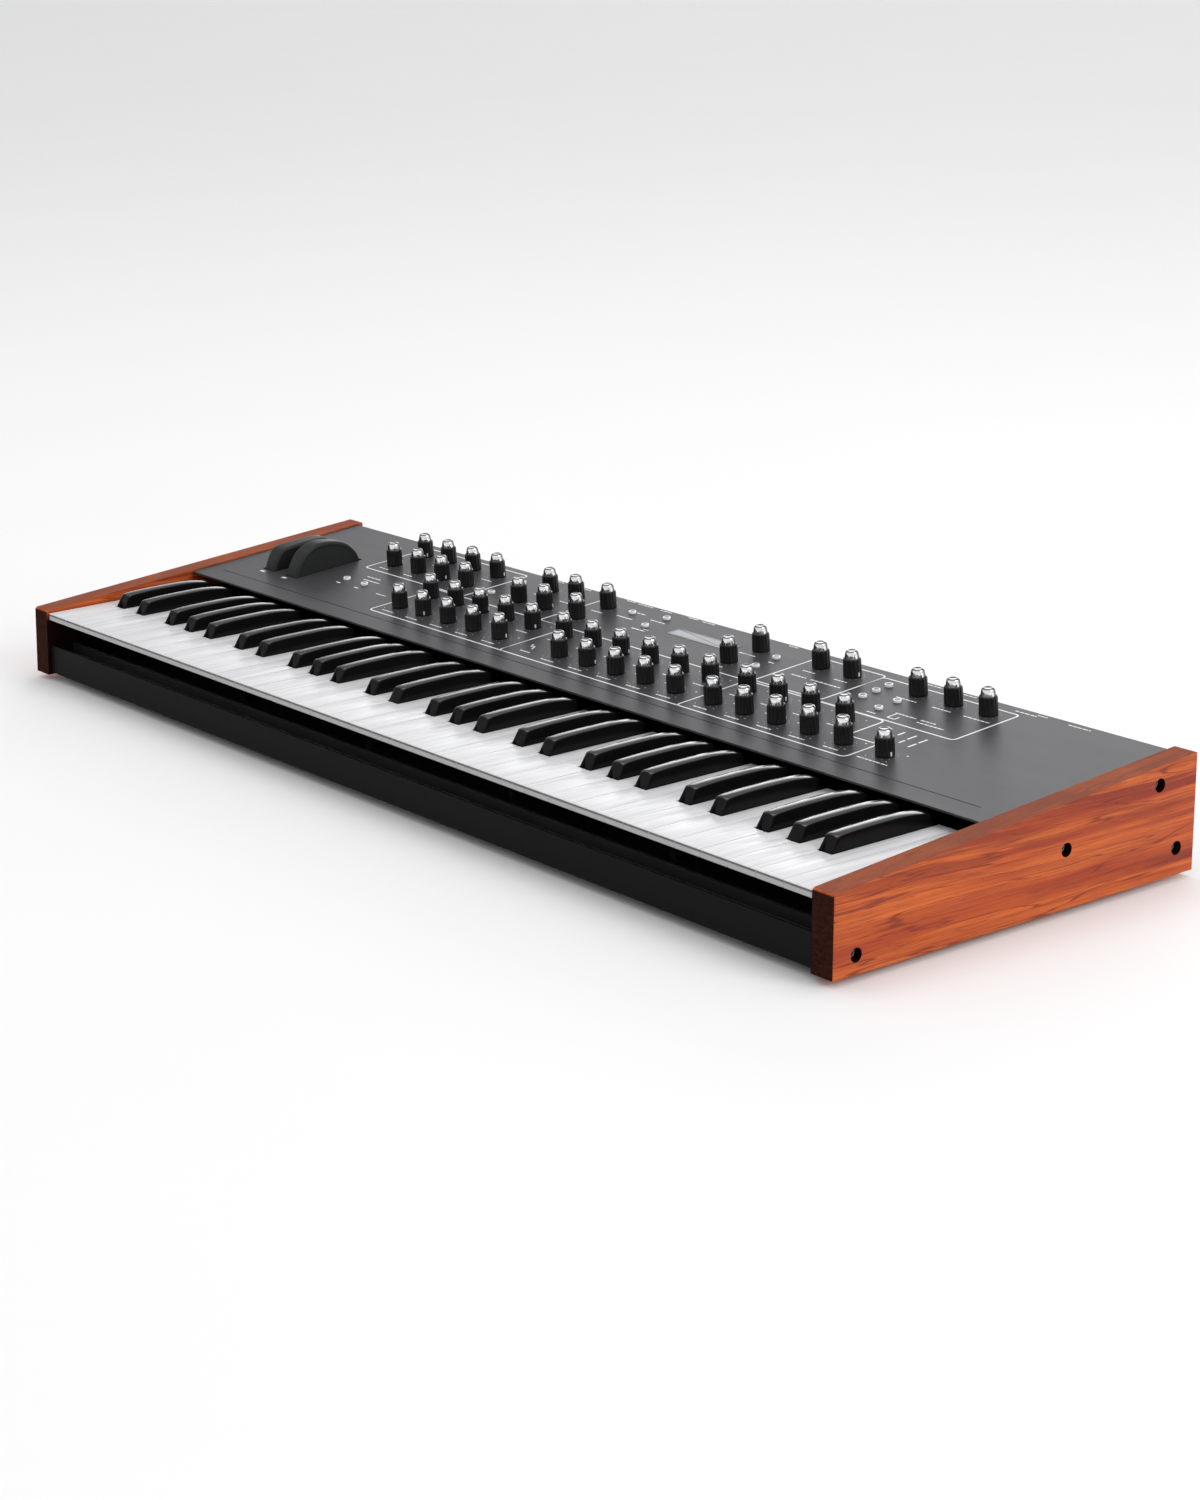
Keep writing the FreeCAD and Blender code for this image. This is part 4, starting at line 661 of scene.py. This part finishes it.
# ------------------------------------------------------------------ buttons
RING = [(0, -3.8), (2.85, -3.8), (3.0, -3.6), (3.0, 0.9), (2.96, 1.3), (2.8, 1.6), (2.5, 1.7), (2.15, 1.68), (2.0, 1.5)]
DISH = [(2.0, 1.5), (1.85, 1.28), (1.3, 1.22), (0.7, 1.2), (0, 1.19)]
for node in ("octave_buttons", "panel_buttons"):
    b = Build()
    for x, s in clusters(node, 5.0):
        place = PANEL @ Matrix.Translation((x * MM, s * MM, 0))
        b.add(*lathe(RING, 40), 0, place)
        b.add(*lathe(DISH, 40), 1, place)
    b.make("look_" + node, node, [M["button_white"], M["button_ring"]], (node,))

# ------------------------------------------------------------------ performance wheels
WR, WW, WD = 34.0, 14.5, 25.0


def wheel_radius(a, lean):
    """Radius at angle a from the panel's up-slope direction; the finger flat bows a little and runs softly into the rim."""
    off = abs((a - (math.pi / 2 - lean) + math.pi) % (2 * math.pi) - math.pi)
    along = WD * math.tan(min(off, 1.2))
    bow = 0.9 if lean == 0 else 6.2
    chord = (WD + bow * max(0.0, 1 - (along / 24.0) ** 2)) / max(math.cos(off), 0.2)
    k = 1.1
    return -math.log(math.exp(-WR / k) + math.exp(-chord / k)) * k if chord < WR + 14 else WR


for node in ("pitch_wheel", "mod_wheel"):
    c = PANEL_INV @ Vector(joints["turn_" + node]["pos_m"])
    place = PANEL @ Matrix.Translation(c)
    outline = []
    for k in range(220):
        a = 2 * math.pi * k / 220
        r = wheel_radius(a, 0.0 if node == "pitch_wheel" else math.radians(11))
        outline.append((r * math.cos(a), r * math.sin(a)))
    rings = []
    h = WW / 2
    ease = [(h - 2.2 + 2.2 * math.sin(t), 2.2 - 2.2 * math.cos(t)) for t in (math.radians(q) for q in (0, 15, 30, 45, 60, 75, 90))]
    half = [(0.0, 0.0), (2.6, 0.0)] + ease + [(h, 3.4), (h - 0.35, 4.0), (h - 0.35, 4.6)]
    for x, d in [(-x, d) for x, d in half[::-1]] + half[1:]:
        rings.append([(x * MM, y * MM, z * MM) for y, z in inset(outline, d)])
    b = Build()
    b.add(*stack(rings), 0, place)
    for side in (-1, 1):
        v, f = lathe([(0, 0), (3, 0), (3, 5.2), (2.6, 5.4), (0, 5.4)], 32)
        turn = Matrix.Translation((side * (h - 0.6) * MM, 0, 0)) @ Matrix.Rotation(math.radians(90 * side), 4, "Y")
        b.add(v, f, 0, place @ turn)
    b.make("look_" + node, node, [M["wheel_black"]], (node,), angle=50)

# ------------------------------------------------------------------ white keys
lo_c, hi_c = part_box("white_keys_c")
PITCH = 23.5
GAP = 0.4
START = lo_c.x / MM - GAP
SHOWN = 0.27
W_TOP, W_FRONT = hi_c.z / MM, lo_c.y / MM
HEAD = 53.0
W_BACK = W_FRONT - 1.3 + 150.0
SHARP = {"c_sharp": PITCH - 2.35, "d_sharp": 2 * PITCH + 2.35, "f_sharp": 4 * PITCH - 3.36, "g_sharp": 5 * PITCH, "a_sharp": 6 * PITCH + 3.36}
NECK = 6.6
WHITES = {"white_keys_c": (0, None, "c_sharp", 5, 0), "white_keys_d": (1, "c_sharp", "d_sharp", 5, 0),
          "white_keys_e": (2, "d_sharp", None, 5, 0), "white_keys_f": (3, None, "f_sharp", 5, 0),
          "white_keys_g": (4, "f_sharp", "g_sharp", 5, 0), "white_keys_a": (5, "g_sharp", "a_sharp", 5, 0),
          "white_keys_b": (6, "a_sharp", None, 5, 0), "white_key_top_c": (0, None, None, 1, 35 * PITCH)}
PIVOT_Y = joints["press_c"]["pos_m"][1] / MM
for node, (idx, left, right, count, off) in WHITES.items():
    b = Build()
    for o in range(count):
        x0 = START + off + o * 7 * PITCH
        lo, hi = x0 + idx * PITCH + SHOWN, x0 + (idx + 1) * PITCH - SHOWN
        nl = x0 + SHARP[left] + NECK if left else lo
        nr = x0 + SHARP[right] - NECK if right else hi
        yf, yh, yb = W_FRONT, W_FRONT + HEAD + 1.7, W_BACK
        pts, rad = [(lo, yf), (hi, yf)], [0.5, 0.5]
        if nr < hi:
            pts += [(hi, yh), (nr, yh), (nr, yb)]
            rad += [0.9, 0.9, 0.3]
        else:
            pts += [(hi, yb)]
            rad += [0.3]
        if nl > lo:
            pts += [(nl, yb), (nl, yh), (lo, yh)]
            rad += [0.3, 0.9, 0.9]
        else:
            pts += [(lo, yb)]
            rad += [0.3]
        outline = round_poly(pts, rad, 4)
        rings = []
        for z, d, push in ((0, 0.34, 0), (-0.03, 0.2, 0), (-0.09, 0.09, 0), (-0.2, 0.02, 0), (-0.4, 0, 0), (-0.85, 0, 0.02),
                           (-1.0, 0, 0.12), (-1.12, 0, 0.35), (-1.18, 0, 1.0), (-1.9, 0, 1.0), (-1.98, 0, 0.5), (-2.1, 0, 0.34),
                           (-2.4, 0, 0.3), (-5.2, 0, 0.3), (-5.45, 0.1, 0.3), (-5.6, 0.35, 0.3), (-5.6, 1.5, 0.3), (-5.3, 1.7, 0.3), (-2.3, 1.9, 0.6)):
            ring = []
            for x, y in inset(outline, d):
                if y < yf + 6:
                    y = max(y, yf + d + push) if push else y
                ring.append((x * MM, y * MM, (W_TOP + z) * MM))
            rings.append(ring)
        b.add(*stack(rings))
        mid = (nl + nr) / 2
        v, f = block(mid - 4.8, mid + 4.8, yf + 32.7, PIVOT_Y + 5, 43.0, W_TOP - 4.5)
        b.add(v, f)
        v, f = block(mid - 4.8, mid + 4.8, yb - 2, PIVOT_Y + 5, 47.0, 53.6)
        b.add(v, f)
        for y in (yf + 9, yf + 60, yf + 110):
            v, f = block(mid - 4.3, mid + 4.3, y, y + 1.6, W_TOP - 5.3, W_TOP - 2.5)
            b.add(v, f)
    b.make("look_" + node, node, [M["white_key"]], (node,), angle=40)

# ------------------------------------------------------------------ black keys
PROFILE = [(0.0, 10.25), (2.0, 10.5), (5, 10.8), (10, 11.1), (16, 11.32), (24, 11.5), (33, 11.58), (42, 11.6), (50, 11.6), (57, 11.42),
           (63, 11.0), (69, 10.35), (75, 9.5), (78, 8.7), (80.5, 7.7)]
for tag in SHARP:
    node = "black_keys_" + tag
    lo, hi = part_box(node)
    b = Build()
    front, top = lo.y / MM, hi.z / MM
    base = top - 11.6
    first = lo.x / MM + 5.9
    for o in range(5):
        xc = first + o * 7 * PITCH
        rings = []
        # stations along the key; the first ones lean with the sloped front
        prof = [(front + 4.3 + t, base + z) for t, z in PROFILE]
        n_side = 5

        def section(y, zt, shrink=0.0, lean=0.0):
            """Cross section at y: straight tapered sides, crisp shoulders, crowned top. lean pulls the foot forward."""
            half_b, half_t, r, crown = 5.9 - shrink, 4.55 - shrink, 0.75, 0.55
            pts = []
            rise = zt - base

            def width(z):
                k = min(max((z - base) / 11.6, 0.0), 1.0)
                return half_b + (half_t - half_b) * k
            for z in (49.0, base, base + rise * 0.35, base + rise * 0.7, zt - r - crown - 0.3):
                pts.append((-width(z), z))
            w = width(zt - r)
            for k in range(1, 6):
                a = math.radians(180 - 74 * k / 5)
                pts.append((-w + r + r * math.cos(a), zt - crown - r + r * math.sin(a)))
            inner, z_in = -pts[-1][0], pts[-1][1]
            for k in (-0.66, -0.33, 0.0, 0.33, 0.66):
                pts.append((inner * k, zt - (zt - z_in) * k * k))
            pts += [(-p, q) for p, q in pts[:10]][::-1]
            out = []
            for px, pz in pts:
                share = min(max((zt - pz) / max(zt - base, 0.1), 0.0), 1.0)
                out.append(((xc + px) * MM, (y - lean * share) * MM, pz * MM))
            return out

        for dy, sh, dz in ((0.0, 1.5, -0.95), (0.12, 1.05, -0.6), (0.35, 0.6, -0.32), (0.75, 0.25, -0.12), (1.3, 0.06, -0.02)):
            rings.append(section(front + 4.6 + dy, base + 10.15 + dz, sh, 5.1 + dy * 0.4))
        for k, (y, zt) in enumerate(prof):
            rings.append(section(y + 1.9, zt, 0.0, max(0.0, 5.4 - (y - prof[0][0]) * 1.1)))
        yb = front + 87.4
        rings.append(section(yb, base + 3.0, 0.0, -0.0))
        rings.append(section(yb + 0.01, base + 1.0, 0.6, 0.0))
        b.add(*stack(rings))
        v, f = block(xc - 4.5, xc + 4.5, front + 6, PIVOT_Y + 5, 43.0, 50.0)
        b.add(v, f)
        v, f = block(xc - 4.5, xc + 4.5, front + 85.4, PIVOT_Y + 5, 47.0, 53.6)
        b.add(v, f)
    b.make("look_" + node, node, [M["black_key"]], (node,), angle=42)

# ------------------------------------------------------------------ display window
b = Build()
lo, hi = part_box("display_window")
mid = PANEL_INV @ ((lo + hi) / 2)
dx, ds = mid.x / MM, mid.y / MM
place = PANEL @ Matrix.Translation((dx * MM, ds * MM, 0))
outline = round_poly([(-32.7, -7.0), (32.7, -7.0), (32.7, 7.0), (-32.7, 7.0)], 0.9, 4)
rings = []
for z, d in ((-1.5, 0.1), (-1.4, 0), (0.0, 0), (0.12, 0.05), (0.2, 0.25), (0.2, 0.9), (0.12, 1.05), (0.12, 1.5)):
    rings.append([(x * MM, y * MM, z * MM) for x, y in inset(outline, d)])
b.add(*stack(rings), 0, place)
b.make("look_display_window", "chassis", [M["lens"]], ("display_window",))


# ------------------------------------------------------------------ screen printing on the panel
INK_UP = 0.045


def arc_path(points, radius, closed=False, steps=5):
    """Polyline with rounded corners."""
    out = []
    n = len(points)
    rng_i = range(n) if closed else range(1, n - 1)
    if not closed:
        out.append(points[0])
    for i in rng_i:
        p0, p1, p2 = Vector(points[i - 1]), Vector(points[i]), Vector(points[(i + 1) % n])
        a, c = (p0 - p1), (p2 - p1)
        r = min(radius, a.length / 2, c.length / 2)
        s, e = p1 + a.normalized() * r, p1 + c.normalized() * r
        for k in range(steps + 1):
            t = k / steps
            q = s * (1 - t) ** 2 + p1 * 2 * t * (1 - t) + e * t ** 2
            out.append((q.x, q.y))
    if not closed:
        out.append(points[-1])
    return out


def line(b, points, width=1.0, radius=4.0, closed=False):
    pts = arc_path(points, radius, closed) if radius else list(points)
    n = len(pts)
    left, right = [], []
    for i in range(n):
        if closed:
            p0, p2 = pts[i - 1], pts[(i + 1) % n]
        else:
            p0, p2 = pts[max(i - 1, 0)], pts[min(i + 1, n - 1)]
        d = Vector((p2[0] - p0[0], p2[1] - p0[1]))
        d = d.normalized() if d.length > 1e-9 else Vector((1, 0))
        nn = Vector((-d.y, d.x)) * width / 2
        left.append((pts[i][0] + nn.x, pts[i][1] + nn.y))
        right.append((pts[i][0] - nn.x, pts[i][1] - nn.y))
    # a low raised film: top face with two short sides
    verts, faces = [], []
    for l, r in zip(left, right):
        verts += [tuple(P(l[0], l[1], 0.0)), tuple(P(l[0], l[1], INK_UP)), tuple(P(r[0], r[1], INK_UP)), tuple(P(r[0], r[1], 0.0))]
    last = n if closed else n - 1
    for i in range(last):
        j = (i + 1) % n
        for k in range(3):
            faces.append((4 * i + k, 4 * i + k + 1, 4 * j + k + 1, 4 * j + k))
    b.add(verts, faces)


def dash(b, x, s, w, t=1.5, lean=0.0):
    """A short label bar: a plain stand-in for a word."""
    verts = [tuple(P(x - w / 2, s - t / 2, 0.0)), tuple(P(x + w / 2, s - t / 2, 0.0)),
             tuple(P(x + w / 2 + lean, s + t / 2, 0.0)), tuple(P(x - w / 2 + lean, s + t / 2, 0.0))]
    verts += [tuple(P(x - w / 2, s - t / 2, INK_UP)), tuple(P(x + w / 2, s - t / 2, INK_UP)),
              tuple(P(x + w / 2 + lean, s + t / 2, INK_UP)), tuple(P(x - w / 2 + lean, s + t / 2, INK_UP))]
    b.add(verts, [(4, 5, 6, 7), (0, 1, 5, 4), (1, 2, 6, 5), (2, 3, 7, 6), (3, 0, 4, 7), (3, 2, 1, 0)])


def label(b, x, s, w, t=1.35):
    """A word-like row of short bars of uneven length."""
    left, end = x - w / 2, x + w / 2
    while left < end - 0.4:
        part = min(rng.uniform(1.6, 4.2), end - left)
        dash(b, left + part / 2, s, part, t)
        left += part + rng.uniform(0.5, 0.9)


def dot(b, x, s, r=0.9, seg=16):
    verts = [tuple(P(x, s, INK_UP))] + [tuple(P(x + r * math.cos(2 * math.pi * k / seg), s + r * math.sin(2 * math.pi * k / seg), INK_UP)) for k in range(seg)]
    low = [tuple(P(x + r * math.cos(2 * math.pi * k / seg), s + r * math.sin(2 * math.pi * k / seg), 0.0)) for k in range(seg)]
    faces = [(0, 1 + k, 1 + (k + 1) % seg) for k in range(seg)]
    faces += [(1 + k, 1 + seg + k, 1 + seg + (k + 1) % seg, 1 + (k + 1) % seg) for k in range(seg)]
    b.add(verts + low, faces)


b = Build()
W = 1.35
line(b, [(-250, 167), (-318, 167), (-318, 99.3), (-222, 99.3)], W)
line(b, [(-250, 167), (-192, 167), (-192, 99.3), (-222, 99.3)], W)
line(b, [(-124, 97.2), (-66, 97.2), (-66, 33)], W, 4)
line(b, [(-124, 97.2), (-223, 97.2), (-223, 29.2), (-70, 29.2)], W)
line(b, [(-66, 60), (-66, 29.2), (-20, 29.2)], W)
line(b, [(-70, 29.2), (-60, 29.2)], W, 0)
line(b, [(-20, 29.2), (126, 29.2)], W, 0)
line(b, [(-66, 97.2), (124, 97.2), (124, 60)], W)
line(b, [(124, 60), (124, 29.2), (180, 29.2)], W)
line(b, [(180, 29.2), (282, 29.2), (282, 61.2), (254, 61.2), (254, 97.6), (191, 97.6)], W, 5)
line(b, [(191, 97.6), (124, 97.6)], W, 0)
line(b, [(-98, 170.5), (-98, 97.2), (-80, 97.2)], W)
line(b, [(150, 166.3), (126.5, 166.3), (126.5, 101), (160, 101)], W)
line(b, [(150, 166.3), (191, 166.3), (191, 101), (160, 101)], W)
line(b, [(191, 140), (191, 163.2), (312.4, 163.2), (312.4, 98.6), (194, 98.6)], W)
line(b, [(-20, 131.4), (-14, 131.4)], 0.8, 0)
for x, s in knob_places:
    row = min((48.8, 81.5, 119.2, 151.7), key=lambda v: abs(v - s))
    if row < 60:
        label(b, x + 1, 35.6, 26 if x > 290 else 14)
        dot(b, x + 12, 57.0, 0.75)
        dot(b, x - 9, 40.2, 0.45)
        dot(b, x + 9, 40.2, 0.45)
    elif row < 100:
        label(b, x + 1, 69.0, 12)
        dot(b, x + 11, 90.0, 0.55)
    elif row < 130:
        label(b, x + 1, 106.8, 11)
    else:
        label(b, x + 1, 138.6, {233.5: 18, 265.0: 16, 295.5: 22}.get(round(x, 1), 12))
    for k in range(11):
        a = math.radians(240 - 30 * k)
        dot(b, x + 8.6 * math.cos(a), s + 8.6 * math.sin(a), 0.28, 8)
for x, s, w in ((-286.5, 84, 17), (-281.5, 77.2, 20), (-246, 59, 12), (-47.5, 39, 11), (-52, 142, 17), (-48.5, 156, 9), (-24.5, 150.4, 15),
                (-22, 128.2, 14), (144.5, 127.4, 14), (170, 127.4, 28), (257, 114, 18), (277, 114, 13), (282.5, 109.4, 23), (235, 104.2, 8),
                (108.5, 136.2, 5), (81, 138.6, 14)):
    label(b, x, s, w)
for x in (-302.5, -279):
    dash(b, x + 1.5, 58.6, 5, 1.6)
for x in (-378, -348):
    dash(b, x, 38, 5.2, 2.4, 1.0)
for x, s, w in ((313, 168.4, 18), (325, 171, 8), (357, 169.3, 18), (-38, 172, 12), (-9, 172.6, 10), (8, 172, 14), (-77, 172.6, 10), (-61, 172.2, 16),
                (-130, 172, 14), (-160, 172, 10), (60, 172, 14), (96, 172, 10), (230, 171.5, 14), (262, 171.5, 12)):
    label(b, x, s, w, 1.2)
for x, lo_s, hi_s in ((267.5, 84, 89.5), (279, 82.5, 89.5), (289.3, 80.5, 89.5), (299.6, 80, 88.5), (289.6, 72.2, 78), (299.6, 70, 78)):
    verts_s = (lo_s + hi_s) / 2
    dash(b, x, verts_s, 1.5, hi_s - lo_s)
# a small generic wave sign by the first knob of the middle section, and an icon on the right
line(b, [(-55, 54), (-53, 49.5), (-50.5, 51.5), (-47.5, 45.5)], 1.1, 1.0)
line(b, [(249.5, 114), (249.5, 104), (256, 104), (256, 109)], 1.1, 0.8)
b.make("panel_printing", "chassis", [M["ink"]], angle=80)

# ------------------------------------------------------------------ floor, light and camera
me = bpy.data.meshes.new("floor")
me.from_pydata([(-60, -60, 0), (60, -60, 0), (60, 60, 0), (-60, 60, 0)], [], [(0, 1, 2, 3)])
floor = bpy.data.objects.new("floor", me)
scene.collection.objects.link(floor)
fm = Mat("pale_floor")
n1 = fm.noise(3.0, 3, 0.5)
n2 = fm.noise(420, 3, 0.5)
floor.data.materials.append(fm.set(color=fm.mix(n1, (0.86, 0.86, 0.86), (0.88, 0.88, 0.88)), rough=0.75, normal=fm.bump(n2, 0.03, 0.0003), spec=0.2))

LOBE = (0.36, 0.46, 2.9, 1.2)
ROOM = (0.78, 0.80, 0.40)
world = bpy.data.worlds.new("studio")
scene.world = world
world.use_nodes = True
wt = world.node_tree
wt.nodes.clear()
wout = wt.nodes.new("ShaderNodeOutputWorld")
bg = wt.nodes.new("ShaderNodeBackground")
wt.links.new(bg.outputs[0], wout.inputs[0])
tc = wt.nodes.new("ShaderNodeTexCoord")


def wnode(kind, ins, **props):
    nd = wt.nodes.new("ShaderNode" + kind)
    for k, v in props.items():
        setattr(nd, k, v)
    for k, v in ins.items():
        if isinstance(v, bpy.types.NodeSocket):
            wt.links.new(v, nd.inputs[k])
        else:
            nd.inputs[k].default_value = v
    return nd


def wmath(op, a, b=0.0):
    return wnode("Math", {0: a, 1: b}, operation=op).outputs[0]


def wrange(v, a, b, c, d):
    return wnode("MapRange", {"Value": v, "From Min": a, "From Max": b, "To Min": c, "To Max": d}, interpolation_type="SMOOTHSTEP").outputs[0]


# a white room: brightest low down behind the instrument, dimmer overhead at the back
way = wnode("VectorMath", {0: tc.outputs["Generated"], 1: Vector((-0.78, 0.62, 0.0)).normalized()}, operation="DOT_PRODUCT").outputs["Value"]
window = wnode("VectorMath", {0: tc.outputs["Generated"], 1: Vector((-0.55, 0.83, 0.28)).normalized()}, operation="DOT_PRODUCT").outputs["Value"]
height = wnode("SeparateXYZ", {"Vector": tc.outputs["Generated"]}).outputs[2]
sector = wrange(way, 0.35, 0.85, 0.0, 1.0)
low_band = wmath("MULTIPLY", wrange(height, 0.0, 0.06, 0.0, 1.0), wrange(height, LOBE[0], LOBE[1], 1.0, 0.0))
lobe = wmath("MULTIPLY", wmath("MULTIPLY", wrange(window, 0.905, 0.985, 0.0, 1.0), low_band), LOBE[2])
skirting = wmath("MULTIPLY", wmath("MULTIPLY", sector, wrange(height, 0.10, 0.20, 1.0, 0.0)), LOBE[3])
lobe = wmath("ADD", lobe, skirting)
room = wrange(height, 0.05, 0.75, ROOM[0], ROOM[1])
dim = wmath("SUBTRACT", 1.0, wmath("MULTIPLY", wmath("MULTIPLY", sector, wrange(height, 0.14, 0.24, 0.0, 1.0)), ROOM[2]))
wt.links.new(wmath("ADD", wmath("MULTIPLY", room, dim), lobe), bg.inputs["Strength"])
bg.inputs["Color"].default_value = (1.0, 1.0, 1.01, 1.0)


def area(name, at, to, size, power, colour=(1, 1, 1)):
    L = bpy.data.lights.new(name, "AREA")
    L.shape = "RECTANGLE"
    L.size, L.size_y = size
    L.energy = power
    L.color = colour
    o = bpy.data.objects.new(name, L)
    o.location = at
    o.rotation_mode = "QUATERNION"
    o.rotation_quaternion = (Vector(to) - Vector(at)).to_track_quat("-Z", "Y")
    scene.collection.objects.link(o)
    return o


area("key_light", (3.6, 0.9, 2.3), (0.1, 0, 0.05), (2.0, 1.8), 56, (1.0, 0.99, 0.97))
area("top_light", (-0.3, 0.5, 3.4), (0, 0, 0), (3.0, 1.8), 28)

cam_data = bpy.data.cameras.new("camera")
cam = bpy.data.objects.new("camera", cam_data)
scene.collection.objects.link(cam)
scene.camera = cam
CAM = Vector((1.67154, -1.453492, 0.69108))
AZ, EL, ROLL = math.radians(57.253262), math.radians(13.233102), math.radians(-1.850743)
back = Vector((math.sin(AZ) * math.cos(EL), -math.cos(AZ) * math.cos(EL), math.sin(EL)))
right = Vector((0, 0, 1)).cross(back).normalized()
up = back.cross(right)
c, s_ = math.cos(ROLL), math.sin(ROLL)
right2, up2 = right * c + up * s_, up * c - right * s_
rot = Matrix((right2, up2, back)).transposed()
cam.rotation_mode = "QUATERNION"
cam.location = CAM
cam.rotation_quaternion = rot.to_quaternion()
cam_data.sensor_width = 36.0
cam_data.lens = 3128.95 / 1500 * 36.0
cam_data.clip_start, cam_data.clip_end = 0.05, 300


def only_here(prop, value):
    """The lens is shifted at this place only, so that the other views of the object stay centred."""
    d = cam_data.driver_add(prop).driver
    d.type = "SCRIPTED"
    v = d.variables.new()
    v.name = "x"
    v.type = "TRANSFORMS"
    v.targets[0].id = cam
    v.targets[0].transform_type = "LOC_X"
    v.targets[0].transform_space = "WORLD_SPACE"
    d.expression = "%.5f if abs(x - %.5f) < 0.0005 else 0.0" % (value, CAM.x)


only_here("shift_x", (600 - 103) / 1500)
only_here("shift_y", (545 - 750) / 1500)

scene.view_settings.view_transform = "Standard"
scene.view_settings.look = "None"
scene.view_settings.exposure = 0.0

bpy.context.view_layer.update()
